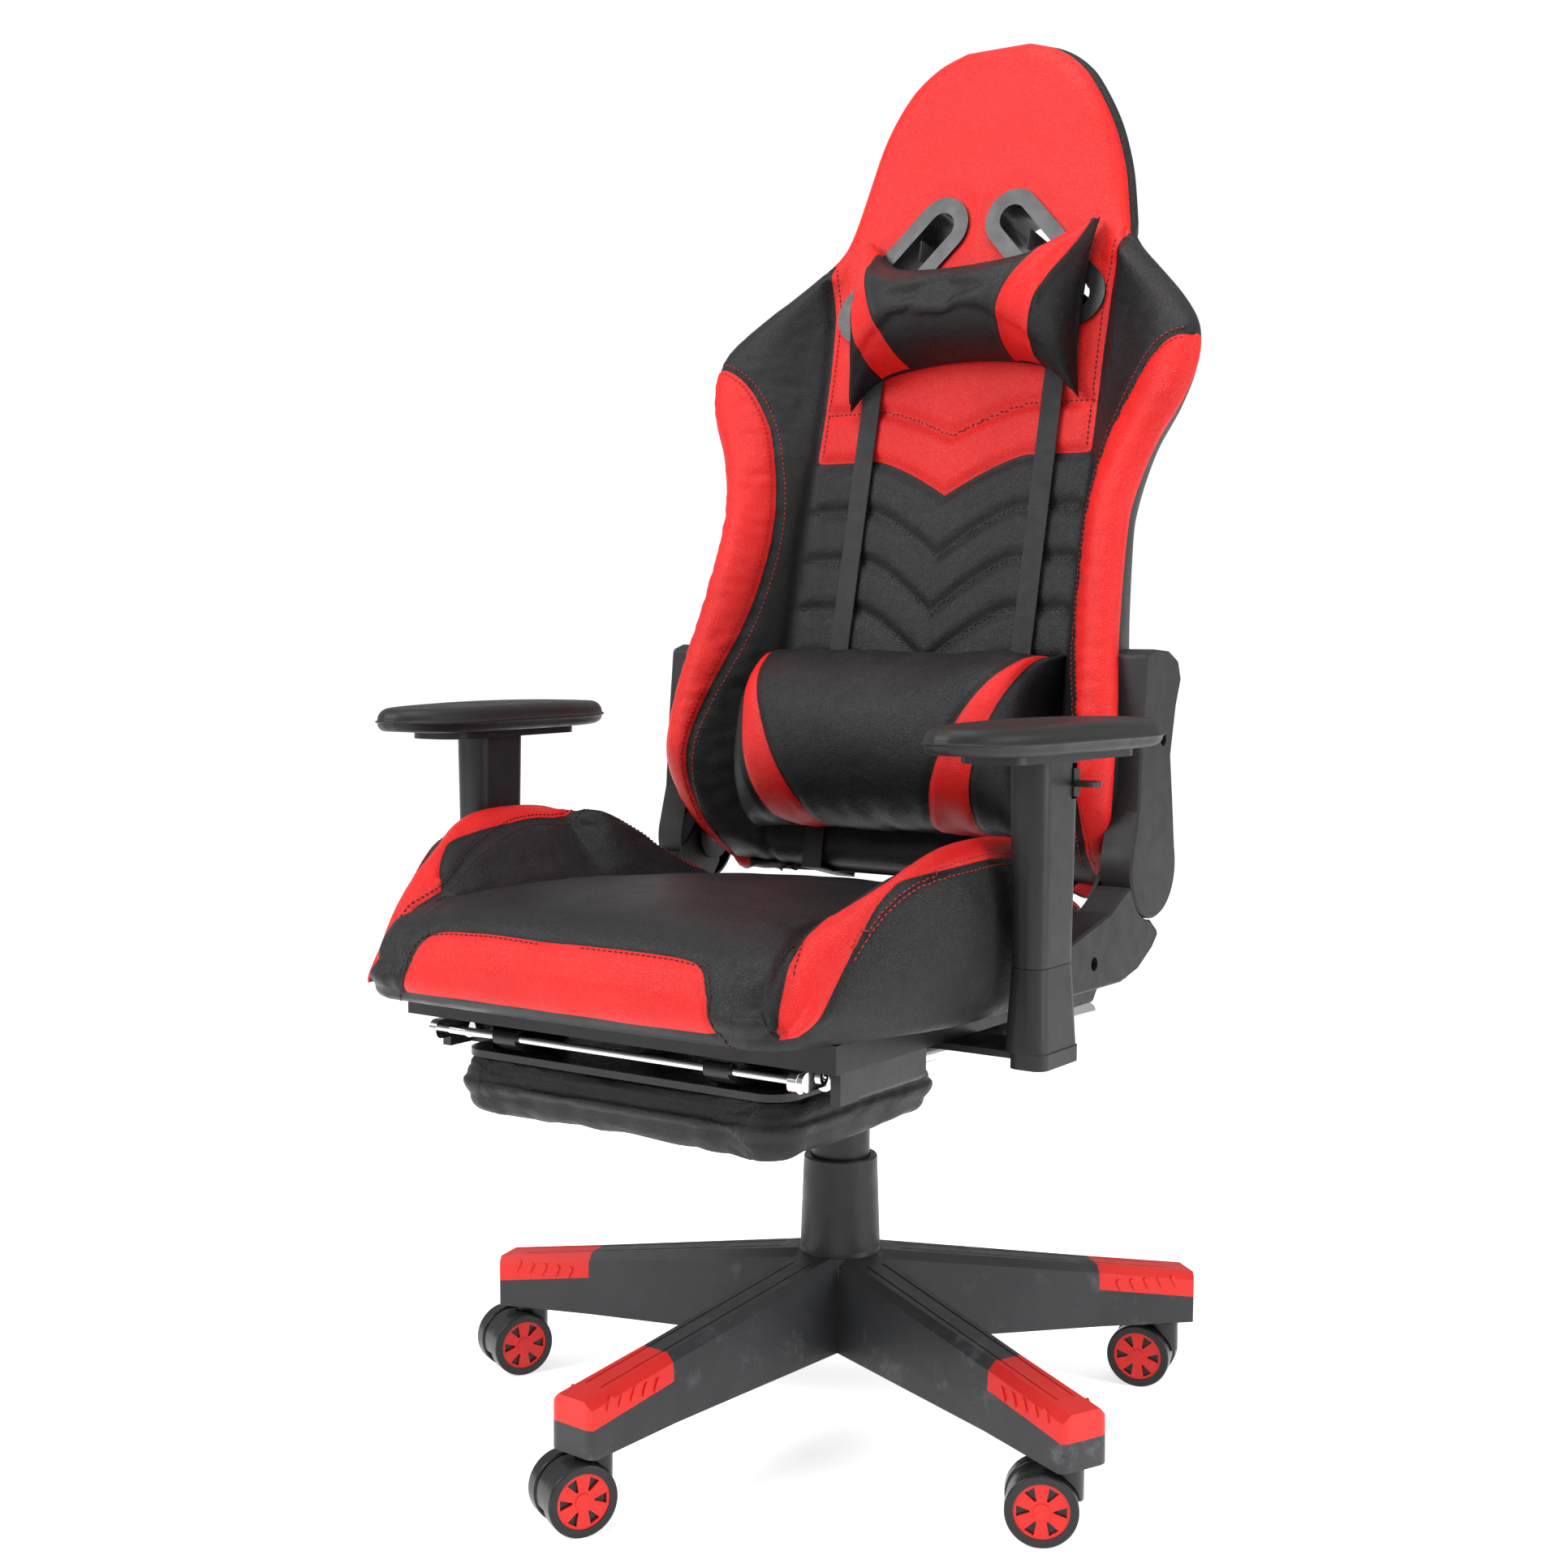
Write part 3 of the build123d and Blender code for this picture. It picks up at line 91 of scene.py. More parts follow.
# ---------------------------------------------------------------- curves and distances
def curve(points, steps=8):
    """A smooth line through points (Catmull-Rom)."""
    p = np.array(points, float)
    p = np.vstack((2 * p[0] - p[1], p, 2 * p[-1] - p[-2]))
    out = []
    for a, b, c, d in zip(p, p[1:], p[2:], p[3:]):
        for t in np.arange(steps) / steps:
            out.append(0.5 * (2 * b + (c - a) * t + (2 * a - 5 * b + 4 * c - d) * t ** 2
                              + (3 * b - a - 3 * c + d) * t ** 3))
    return np.array(out + [p[-2]])


def steps_of(table):
    """A smooth function through (place, value) pairs."""
    line = curve(table, 10)
    return lambda v: np.interp(v, line[:, 0], line[:, 1])


def distance(x, y, line, closed=False):
    """How far each (x, y) is from a line of points."""
    line = np.array(line, float)
    ends = np.roll(line, -1, 0) if closed else line[1:]
    best = np.full(np.shape(x), 9.0)
    for (ax, ay), (bx, by) in zip(line, ends):
        dx, dy = bx - ax, by - ay
        t = np.clip(((x - ax) * dx + (y - ay) * dy) / max(dx * dx + dy * dy, 1e-12), 0, 1)
        best = np.minimum(best, np.hypot(x - ax - t * dx, y - ay - t * dy))
    return best


def signed(x, y, area):
    """Distance to an area's border, positive inside it."""
    inside = np.zeros(np.shape(x), bool)
    for (ax, ay), (bx, by) in zip(area, np.roll(area, -1, 0)):
        if ay != by:
            inside ^= ((ay > y) != (by > y)) & (x < (bx - ax) * (y - ay) / (by - ay) + ax)
    return np.where(inside, 1.0, -1.0) * distance(x, y, area, True)


def smooth(v, low, high):
    t = np.clip((v - low) / (high - low), 0, 1)
    return t * t * (3 - 2 * t)


# ---------------------------------------------------------------- meshes
def link(name, mesh, body):
    obj = bpy.data.objects.new(name, mesh)
    bpy.context.scene.collection.objects.link(obj)
    for face in mesh.polygons:
        face.use_smooth = True
    obj["body"] = body
    return obj


def mesh_from(name, points, faces):
    mesh = bpy.data.meshes.new(name)
    mesh.from_pydata([tuple(p) for p in points], [], faces)
    mesh.validate()
    return mesh


def grid_faces(rows, columns, start=0, flip=False):
    faces = []
    for r in range(rows - 1):
        for c in range(columns - 1):
            a = start + r * columns + c
            face = (a, a + 1, a + columns + 1, a + columns)
            faces.append(face[::-1] if flip else face)
    return faces


def slab(name, body, along, half_width, place, top, bottom, columns=121, sides=6, edge=0.02,
         under_edge=0.015, bulge=0.004, taper=None):
    """A closed soft form: a top and a bottom sheet over an outline, with rounded edges and a side.
    taper(along) is how much narrower each half of the bottom sheet is."""
    t = np.linspace(-1, 1, columns)
    across = 0.3 * t + 0.7 * np.sin(t * math.pi / 2)
    q = np.repeat(along[:, None], columns, 1)
    p = half_width(q) * across
    narrow = np.ones_like(q) if taper is None else 1 - taper(q) / half_width(q)
    rows = len(along)
    ring = ([(0, c) for c in range(columns)] + [(r, columns - 1) for r in range(1, rows)]
            + [(rows - 1, c) for c in range(columns - 2, -1, -1)] + [(r, 0) for r in range(rows - 2, 0, -1)])
    border = np.array([(p[i], q[i]) for i in ring])
    inset = distance(p, q, border, True)
    high = top(p, q) - (edge - np.sqrt(edge ** 2 - np.maximum(0, edge - inset) ** 2))
    low = bottom(p, q) + (under_edge - np.sqrt(under_edge ** 2 - np.maximum(0, under_edge - inset) ** 2))
    centre = border.mean(0)
    away = border - centre
    tangent = np.roll(border, -1, 0) - np.roll(border, 1, 0)
    normal = np.stack((tangent[:, 1], -tangent[:, 0]), 1)
    normal /= np.maximum(np.linalg.norm(normal, axis=1), 1e-9)[:, None]
    normal *= np.sign((normal * away).sum(1))[:, None]
    points = [place(p, q, high).reshape(-1, 3), place(p * narrow, q, low).reshape(-1, 3)]
    flat = [np.stack((p.ravel(), q.ravel(), inset.ravel()), 1),
            np.stack((p.ravel(), q.ravel(), np.full(p.size, -0.5)), 1)]
    high_edge = np.array([high[i] for i in ring])
    low_edge = np.array([low[i] for i in ring])
    for k in range(1, sides):
        share = k / sides
        moved = border + normal * bulge * math.sin(math.pi * share)
        moved[:, 0] *= 1 - share * (1 - np.array([narrow[i] for i in ring]))
        level = high_edge + (low_edge - high_edge) * share
        points.append(place(moved[:, 0], moved[:, 1], level))
        flat.append(np.stack((border[:, 0], border[:, 1], level - high_edge), 1))
    size, count = p.size, len(ring)
    loops = [[r * columns + c for r, c in ring]]
    loops += [[2 * size + k * count + i for i in range(count)] for k in range(sides - 1)]
    loops.append([size + r * columns + c for r, c in ring])
    faces = grid_faces(rows, columns) + grid_faces(rows, columns, size, flip=True)
    for upper, lower in zip(loops, loops[1:]):
        for i in range(count):
            j = (i + 1) % count
            faces.append((upper[j], upper[i], lower[i], lower[j]))
    obj = link(name, mesh_from(name, np.vstack(points), faces), body)
    return obj, np.vstack(flat)


def pillow(name, body, place, corner, thickness, back, columns=71, rows=47):
    """Two sheets sewn round their border: corner(u, v) gives the flat outline, thickness(u, v) the loft."""
    u, v = np.meshgrid(np.sin(np.linspace(-1, 1, columns) * math.pi / 2),
                       np.sin(np.linspace(-1, 1, rows) * math.pi / 2))
    p, q = corner(u, v)
    loft = thickness(u, v)
    front = place(p, q, back(u, v) + loft)
    rear = place(p, q, back(u, v) - 0.12 * loft)
    faces = grid_faces(rows, columns) + grid_faces(rows, columns, p.size, flip=True)
    obj = link(name, mesh_from(name, np.vstack((front.reshape(-1, 3), rear.reshape(-1, 3))), faces), body)
    bm = bmesh.new()
    bm.from_mesh(obj.data)
    bmesh.ops.remove_doubles(bm, verts=bm.verts, dist=1e-5)
    bmesh.ops.recalc_face_normals(bm, faces=bm.faces)
    bm.to_mesh(obj.data)
    bm.free()
    for face in obj.data.polygons:
        face.use_smooth = True
    return obj


def coords(obj):
    out = np.empty(len(obj.data.vertices) * 3)
    obj.data.vertices.foreach_get("co", out)
    return out.reshape(-1, 3)


def set_coords(obj, points):
    obj.data.vertices.foreach_set("co", points.ravel())
    obj.data.update()


def normals(obj):
    out = np.empty(len(obj.data.vertices) * 3)
    obj.data.vertices.foreach_get("normal", out)
    return out.reshape(-1, 3)


def inflate(obj, cap, pressure=4.0, frames=20, shrink=0.0):
    """Lets the sheet settle under air pressure as cloth, no point moving further than cap."""
    rest = coords(obj)
    cloth = obj.modifiers.new("Cloth", "CLOTH")
    settings = cloth.settings
    settings.quality = 6
    settings.mass = 0.3
    settings.tension_stiffness = settings.compression_stiffness = 15
    settings.bending_stiffness = 0.6
    settings.shrink_min = shrink
    settings.use_pressure = True
    settings.uniform_pressure_force = pressure
    settings.effector_weights.gravity = 0
    cloth.collision_settings.use_collision = False
    cloth.point_cache.frame_start, cloth.point_cache.frame_end = 1, frames
    for number in range(1, frames + 1):
        bpy.context.scene.frame_set(number)
    shown = obj.evaluated_get(bpy.context.evaluated_depsgraph_get())
    out = np.empty(len(rest) * 3)
    shown.data.vertices.foreach_get("co", out)
    obj.modifiers.remove(cloth)
    bpy.context.scene.frame_set(1)
    moved = out.reshape(-1, 3) - rest
    moved -= moved.mean(0)
    far = np.linalg.norm(moved, axis=1, keepdims=True)
    set_coords(obj, rest + moved * np.minimum(1, cap / np.maximum(far, 1e-9)))


def subdivide(obj, levels=1):
    """Adds detail to the mesh itself, keeping its object data."""
    modifier = obj.modifiers.new("Subdivision", "SUBSURF")
    modifier.levels = modifier.render_levels = levels
    shown = obj.evaluated_get(bpy.context.evaluated_depsgraph_get())
    mesh = bpy.data.meshes.new_from_object(shown)
    obj.modifiers.clear()
    obj.data = mesh


def press(obj, depth):
    """Moves each vertex inwards along its normal by depth."""
    set_coords(obj, coords(obj) - normals(obj) * depth[:, None])


def sewn(obj, seams):
    """Presses seams' valleys in, each (where, distance from it, depth, width), the deepest counting."""
    valleys = [where * deep * np.exp(-(gap / wide) ** 2) for where, gap, deep, wide in seams]
    press(obj, np.max(valleys, axis=0))


def wrinkle(obj, amount, size, stretch=(1, 1, 1), where=None):
    """Low folds in the leather, from smooth noise stretched along an axis."""
    points = coords(obj)
    scaled = points * np.array(stretch) / size
    height = np.array([noise.noise(Vector(p)) for p in scaled])
    if where is not None:
        height = height * where
    press(obj, -amount * height)


def field(obj, name, values):
    obj.data.attributes.new(name, "FLOAT", "POINT")
    obj.data.attributes[name].data.foreach_set("value", np.asarray(values, np.float32))


def stitches(name, body, target, lines, material, long=0.0034, gap=0.0019, wide=0.0007, lift=0.0001):
    """A row of small threads along each line, laid on the target's surface."""
    mesh = target.data
    tree = BVHTree.FromPolygons([v.co for v in mesh.vertices], [f.vertices for f in mesh.polygons])
    points, faces = [], []
    for line in lines:
        line = np.asarray(line, float)
        run = np.concatenate(([0], np.cumsum(np.linalg.norm(np.diff(line, axis=0), axis=1))))
        for start in np.arange(gap, run[-1] - long, long + gap):
            ends = []
            for place in (start, start + long / 2, start + long):
                at = Vector([np.interp(place, run, line[:, i]) for i in range(3)])
                spot, normal, _, _ = tree.find_nearest(at)
                ends.append((spot, normal))
            if (ends[2][0] - ends[0][0]).length < long / 3:
                continue
            way = (ends[2][0] - ends[0][0]).normalized()
            base = len(points)
            for (spot, normal), rise, size in zip(ends, (0.0, 1.0, 0.0), (0.35, 1.0, 0.35)):
                side = way.cross(normal).normalized() * wide * size
                crest = spot + normal * (lift + wide * (0.3 + 0.6 * rise))
                points += [crest + side, crest + normal * wide * 0.5 * size,
                           crest - side, crest - normal * wide]
            for ring in (0, 4):
                for i in range(4):
                    j = (i + 1) % 4
                    faces.append((base + ring + i, base + ring + j, base + ring + 4 + j, base + ring + 4 + i))
            faces += [(base + 3, base + 2, base + 1, base), (base + 8, base + 9, base + 10, base + 11)]
    obj = link(name, mesh_from(name, points, faces), body)
    obj.data.materials.append(material)
    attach(obj, body)
    return obj


# ---------------------------------------------------------------- materials
class Nodes:
    """A short way to wire a material's nodes."""

    def __init__(self, name):
        self.material = bpy.data.materials.new(name)
        self.material.use_nodes = True
        self.tree = self.material.node_tree
        self.shader = self.tree.nodes["Principled BSDF"]
        self.place = self.add("ShaderNodeTexCoord").outputs["Object"]

    def add(self, kind, **inputs):
        made = self.tree.nodes.new(kind)
        for key, value in inputs.items():
            self.put(made, key, value)
        return made

    def put(self, made, key, value):
        socket = made.inputs[int(key[1:]) if key[0] == "i" and key[1:].isdigit() else key]
        if isinstance(value, bpy.types.NodeSocket):
            self.tree.links.new(value, socket)
        else:
            socket.default_value = value

    def noise(self, scale, detail=3.0, rough=0.5):
        made = self.add("ShaderNodeTexNoise", Vector=self.place, Scale=scale, Detail=detail, Roughness=rough)
        return made.outputs["Fac"]

    def cells(self, scale, feature="F1"):
        made = self.add("ShaderNodeTexVoronoi", Vector=self.place, Scale=scale)
        made.feature = feature
        return made.outputs["Distance"]

    def math(self, kind, a, b=0.0, clamp=False):
        made = self.add("ShaderNodeMath", i0=a, i1=b)
        made.operation = kind
        made.use_clamp = clamp
        return made.outputs[0]

    def ramp(self, value, low, high, start=0.0, end=1.0):
        """Maps low..high of a value to start..end."""
        made = self.add("ShaderNodeMapRange", Value=value)
        for key, number in (("From Min", low), ("From Max", high), ("To Min", start), ("To Max", end)):
            made.inputs[key].default_value = number
        return made.outputs[0]

    def mix(self, share, a, b):
        made = self.tree.nodes.new("ShaderNodeMix")
        made.data_type = "RGBA"
        for key, value in ((0, share), (6, a), (7, b)):
            if isinstance(value, bpy.types.NodeSocket):
                self.tree.links.new(value, made.inputs[key])
            else:
                made.inputs[key].default_value = value
        return made.outputs[2]

    def value(self, name):
        made = self.tree.nodes.new("ShaderNodeAttribute")
        made.attribute_name = name
        return made.outputs["Fac"]

    def finish(self, colour, rough, bumps=(), **constants):
        self.put(self.shader, "Base Color", colour)
        self.put(self.shader, "Roughness", rough)
        for key, value in constants.items():
            self.shader.inputs[key.replace("_", " ")].default_value = value
        last = None
        for height, metres in bumps:
            made = self.add("ShaderNodeBump", Height=height, Strength=1.0, Distance=metres)
            if last is not None:
                self.tree.links.new(last, made.inputs["Normal"])
            last = made.outputs["Normal"]
        if last is not None:
            self.tree.links.new(last, self.shader.inputs["Normal"])
        return self.material


def shade(r, g, b):
    return (r, g, b, 1.0)


BLACK_LEATHER = shade(0.0058, 0.0060, 0.0066)
BLACK_LIFTED = shade(0.0095, 0.0097, 0.0108)
RED_LEATHER = shade(0.66, 0.012, 0.010)
RED_DEEP = shade(0.56, 0.008, 0.007)
# painted shade: the colour and the width of a thin dark line laid along each red seam's groove
SEAM_PAINTED_SHADE = shade(0.006, 0.003, 0.003)
SEAM_SHADE_WIDE = 0.0006


def leather(name, red_field=True):
    """Coated leather: a fine pebbled grain, stretched creases, red where the sewn panels are red, with painted
    shade as a thin dark line along each red seam.
    """
    n = Nodes(name)
    mottle = n.ramp(n.noise(14, 3), 0.3, 0.7)
    black = n.mix(mottle, BLACK_LEATHER, BLACK_LIFTED)
    colour = black
    if red_field:
        side = n.value("red")
        red = n.mix(n.ramp(n.noise(9, 2), 0.3, 0.75), RED_LEATHER, RED_DEEP)
        colour = n.mix(n.ramp(side, -0.0003, 0.0003), black, red)
        # painted shade: a thin line darkened where the red field meets the black, in the seam's groove
        line = n.ramp(n.math("ABSOLUTE", side), SEAM_SHADE_WIDE, 2 * SEAM_SHADE_WIDE)
        colour = n.mix(line, SEAM_PAINTED_SHADE, colour)
    grain = n.cells(1150)
    creases = n.cells(430, "DISTANCE_TO_EDGE")
    rough = n.ramp(n.noise(38, 4), 0.25, 0.75, 0.33, 0.47)
    return n.finish(colour, rough,
                    ((grain, 0.00028), (n.ramp(creases, 0, 0.12), 0.00016), (n.noise(55, 3), 0.0011)),
                    Specular_IOR_Level=0.26, Coat_Weight=0.03, Coat_Roughness=0.32)


def moulded(name, colour, wear, rough=(0.38, 0.55), grain=2200, depth=0.00008, scuffs=0.0):
    """Moulded plastic: a spark-eroded texture, uneven gloss and pale handling marks."""
    n = Nodes(name)
    base = n.mix(n.ramp(n.noise(7, 4), 0.35, 0.7), colour, wear)
    if scuffs:
        marks = n.math("MULTIPLY", n.ramp(n.noise(33, 7, 0.7), 0.56, 0.74), n.ramp(n.noise(5, 2), 0.42, 0.6))
        base = n.mix(n.math("MULTIPLY", marks, scuffs), base, shade(0.16, 0.16, 0.17))
    return n.finish(base, n.ramp(n.noise(60, 5), 0.25, 0.75, *rough),
                    ((n.noise(grain, 2), depth), (n.noise(28, 2), 0.0003)), Specular_IOR_Level=0.3)


def metal(name, colour, dull, rough, scratch, metallic=1.0):
    """Bare or plated metal with drawn lines and faint handling marks."""
    n = Nodes(name)
    base = n.mix(n.ramp(n.noise(18, 4), 0.35, 0.7), colour, dull)
    return n.finish(base, n.ramp(n.noise(90, 5), 0.25, 0.75, *rough), ((n.noise(900, 2), scratch),),
                    Metallic=metallic)


def webbing(name):
    """Woven tape: fine ribs across and along."""
    n = Nodes(name)
    made = n.add("ShaderNodeTexWave", Vector=n.place, Scale=260.0, Distortion=0.3)
    made.bands_direction = "Z"
    other = n.add("ShaderNodeTexWave", Vector=n.place, Scale=420.0, Distortion=0.2)
    other.bands_direction = "X"
    weave = n.math("MULTIPLY", made.outputs["Fac"], other.outputs["Fac"])
    colour = n.mix(weave, shade(0.006, 0.006, 0.006), shade(0.022, 0.022, 0.023))
    return n.finish(colour, n.ramp(n.noise(70, 3), 0.3, 0.7, 0.62, 0.8), ((weave, 0.0004),),
                    Sheen_Weight=0.15)


def thread(name, colour, dark):
    n = Nodes(name)
    twist = n.add("ShaderNodeTexWave", Vector=n.place, Scale=900.0)
    twist.bands_direction = "DIAGONAL"
    return n.finish(n.mix(twist.outputs["Fac"], colour, dark), n.ramp(n.noise(300), 0.3, 0.7, 0.5, 0.65),
                    ((twist.outputs["Fac"], 0.0001),))


LEATHER = leather("panelled_leather")
BLACK = leather("black_leather", red_field=False)
NYLON = moulded("base_nylon", shade(0.026, 0.027, 0.029), shade(0.038, 0.039, 0.041), (0.36, 0.52),
                scuffs=0.55)
RED_PLASTIC = moulded("red_moulding", shade(0.72, 0.022, 0.016), shade(0.62, 0.018, 0.014), (0.36, 0.5), 1500)
CASTER = moulded("caster_nylon", shade(0.012, 0.012, 0.013), shade(0.02, 0.02, 0.021), (0.2, 0.34),
                 1800, 0.00004)
COVER = moulded("cover_plastic", shade(0.014, 0.014, 0.015), shade(0.020, 0.020, 0.021), (0.42, 0.58),
                1300, 0.00018)
SLEEVE = moulded("sleeve_plastic", shade(0.013, 0.013, 0.014), shade(0.019, 0.019, 0.020), (0.34, 0.48), 1700)
PAD = moulded("arm_pad_foam", shade(0.010, 0.010, 0.011), shade(0.016, 0.016, 0.017), (0.4, 0.56),
              900, 0.0002)
PAINT = moulded("black_powder_coat", shade(0.006, 0.006, 0.0065), shade(0.009, 0.009, 0.0095),
                (0.3, 0.45), 1000, 0.00012)
STEEL = metal("zinc_steel", shade(0.62, 0.62, 0.63), shade(0.48, 0.48, 0.50), (0.24, 0.4), 0.00005)
CHROME = metal("chrome_plate", shade(0.86, 0.86, 0.88), shade(0.74, 0.74, 0.76), (0.05, 0.13), 0.00001)
WEBBING = webbing("strap_webbing")
RED_THREAD = thread("red_thread", shade(0.55, 0.012, 0.012), shade(0.25, 0.006, 0.006))
DARK_THREAD = thread("dark_thread", shade(0.10, 0.010, 0.010), shade(0.03, 0.004, 0.004))
GREY_THREAD = thread("grey_thread", shade(0.05, 0.05, 0.055), shade(0.02, 0.02, 0.022))

MATERIAL_OF = {
    "base_nylon": NYLON, "cap_red": RED_PLASTIC, "caster_black": CASTER, "wheel": CASTER, "steel": STEEL,
    "column": SLEEVE, "gas_black": PAINT, "chrome": CHROME, "mechanism": PAINT, "cover": COVER,
    "arm_plastic": SLEEVE, "arm_pad": PAD, "webbing": WEBBING, "board": CASTER,
    "seat_leather": BLACK, "back_leather": BLACK, "cushion_leather": BLACK, "foot_leather": BLACK,
}
DARK_MOULDED = ("footrest_guides", "harness_bezels")
slot_of = {entry["node"]: entry["material_slot"] for entry in frame["record"]["subparts"]}
for name, obj in nodes.items():
    obj.data.materials.clear()
    obj.data.materials.append(CASTER if name in DARK_MOULDED else MATERIAL_OF[slot_of[name]])


def islands(obj):
    """The faces of each separate solid in a node, by the places of their corners."""
    spot, parent = {}, {}

    def root(k):
        while parent[k] != k:
            parent[k] = parent[parent[k]]
            k = parent[k]
        return k

    keys = [tuple(round(c, 6) for c in v.co) for v in obj.data.vertices]
    for key in keys:
        parent.setdefault(spot.setdefault(key, len(spot)), spot[key])
    for face in obj.data.polygons:
        first = root(spot[keys[face.vertices[0]]])
        for v in face.vertices[1:]:
            parent[root(spot[keys[v]])] = first
    groups = {}
    for face in obj.data.polygons:
        groups.setdefault(root(spot[keys[face.vertices[0]]]), []).append(face)
    return list(groups.values())


# ---------------------------------------------------------------- red rims in the wheels
RIM_REACH = 0.0235                            # a rim's solid lies within this distance of its axle

for number in range(1, 6):
    for side in "ab":
        wheel = nodes[f"wheel_{number}_{side}"]
        wheel.data.materials.append(RED_PLASTIC)
        joint = next(j for j in frame["joints"] if j["child"] == wheel["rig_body"])
        arm = coords(wheel) - np.array(joint["pos_m"])
        axle = np.array(joint["axis"], float)
        radius = np.linalg.norm(arm - (arm @ axle)[:, None] * axle, axis=1)
        for solid in islands(wheel):
            if max(radius[v] for face in solid for v in face.vertices) < RIM_REACH:
                for face in solid:
                    face.material_index = 1

# ---------------------------------------------------------------- backrest
# Outlines, seams and panels, in metres across and up the back.
PANEL = 0.153                                 # half width of the panel between the side seams
V_LINES = ((0.457, 0.029), (0.405, 0.038), (0.354, 0.048), (0.304, 0.054), (0.254, 0.054), (0.204, 0.054),
           (0.154, 0.054), (0.104, 0.054))       # (place up the back, how far its point drops)
V_HALF = 0.085                                # how far from the middle the V begins
back_half = steps_of(((-0.002, 0.206), (0.03, 0.228), (0.084, 0.244), (0.15, 0.242), (0.22, 0.232),
                      (0.31, 0.224), (0.35, 0.226), (0.40, 0.240), (0.44, 0.259), (0.475, 0.268),
                      (0.508, 0.264), (0.54, 0.243), (0.58, 0.205), (0.615, 0.170), (0.64, 0.157),
                      (0.70, 0.142), (0.745, 0.126), (0.785, 0.103), (0.805, 0.085), (0.82, 0.062), (0.829, 0.035)))
wing_rise = steps_of(((-0.002, -0.012), (0.03, 0.036), (0.084, 0.076), (0.15, 0.080), (0.22, 0.074),
                      (0.31, 0.064), (0.40, 0.056), (0.475, 0.050), (0.508, 0.046), (0.56, 0.028),
                      (0.62, 0.010), (0.66, 0.004), (0.83, 0.0)))
SIDE_SEAM = ((PANEL, -0.05), (PANEL, 0.30), (PANEL, 0.50), (0.1545, 0.56), (0.159, 0.60),
             (0.170, 0.626), (0.30, 0.66))
HEAD_AREA = [(-0.1, -0.05), *SIDE_SEAM, (0.30, 0.95), (-0.1, 0.95)]
BAND_SEAM = curve(((0.196, -0.06), (0.205, 0.0), (0.2125, 0.05), (0.211, 0.10), (0.202, 0.145),
                   (0.185, 0.21), (0.176, 0.265), (0.172, 0.325), (0.176, 0.37), (0.187, 0.415),
                   (0.200, 0.447), (0.220, 0.477), (0.244, 0.494), (0.272, 0.500), (0.30, 0.501)), 5)
BAND_AREA = np.vstack((BAND_SEAM, ((0.34, 0.50), (0.34, -0.06))))
HOLE_ENDS = ((0.120, 0.560), (0.040, 0.645))
HOLE_CUT = 0.0185                             # the sheet's hole, just inside the bezel's flange
BACK_EDGE = 0.019                             # radius of the backrest's front edge
BAND_WRAP = 0.003                             # how far the red runs on round that edge
back_taper = steps_of(((-0.01, 0.028), (0.10, 0.034), (0.31, 0.036), (0.42, 0.050), (0.508, 0.060),
                       (0.56, 0.040), (0.62, 0.012), (0.66, 0.0), (0.84, 0.0)))


def v_line(x, at, drop):
    return at - drop * np.maximum(0, 1 - np.abs(x) / V_HALF) ** 1.35


def back_front(x, up):
    """How far the front stands out from the back's plane."""
    far = np.abs(x)
    half = back_half(up)
    share = smooth(far, PANEL - 0.012, np.maximum(half - 0.022, PANEL + 0.012))
    wing = wing_rise(up) * share
    crown = 0.0025 * np.cos(np.clip(far / PANEL, 0, 1) * math.pi / 2) + 0.0055
    crown = 0.0055 + (crown - 0.0055) * smooth(distance(far, up, HOLE_ENDS), 0.033, 0.052)
    head = 0.010 * smooth(up, 0.685, 0.78) * (1 - 0.3 * (far / 0.16) ** 2)
    return crown + wing + head


def back_rear(x, up):
    """The same of its rear: thinner at the head and the foot, hollowed towards the sides."""
    hollow = 0.006 * smooth(np.abs(x), 0.05, 0.2)
    return (np.full(np.shape(x), -0.052) + 0.010 * smooth(up, 0.68, 0.83) + hollow
            + 0.02 * smooth(-up, -0.05, 0.01))


share_up = np.linspace(0, 1, 239)
up_rows = -0.002 + 0.831 * (0.88 * share_up + 0.12 * np.sin(share_up * math.pi / 2))
backrest, flat = slab("backrest_cover", "back", up_rows, back_half, on_back, back_front, back_rear,
                      columns=181, sides=11, edge=BACK_EDGE, under_edge=0.016, bulge=0.005,
                      taper=back_taper)
bx, bup, inset = flat.T
far = np.abs(bx)
edge_run = np.where(inset > 0, np.where(inset < BACK_EDGE, BACK_EDGE * np.arccos(
    np.clip(1 - inset / BACK_EDGE, -1, 1)), inset + 0.011), inset)
is_rear = inset == -0.5
edge_seam = np.where(is_rear, -0.2, edge_run + BAND_WRAP)
over_v = bup - v_line(bx, *V_LINES[1])
red_head = np.minimum(signed(far, bup, np.array(HEAD_AREA)), over_v * 0.85)
red_band = signed(far, bup, BAND_AREA)
field(backrest, "red", np.minimum(np.maximum(red_head, red_band), edge_seam))

on_front = ~is_rear & (inset > 0.002)
on_panel = on_front & (far < PANEL)
sewn(backrest, [(on_panel, np.abs(bup - v_line(bx, at, drop)) * 0.85, 0.0046, 0.0062) for at, drop in V_LINES]
     + [(on_front, distance(far, bup, SIDE_SEAM), 0.0045, 0.0055),
        (on_front, distance(far, bup, BAND_SEAM), 0.0030, 0.0042),
        (~is_rear, np.abs(edge_seam), 0.0024, 0.0036)])
wrinkle(backrest, 0.0022, 0.055, (1.0, 1.6, 0.45), on_front * smooth(far, 0.165, 0.20))
wrinkle(backrest, 0.0012, 0.020, (1.0, 1.0, 2.2),
        on_front * smooth(far, 0.16, 0.18) * smooth(-bup, -0.60, -0.50))
backrest.data.materials.append(LEATHER)

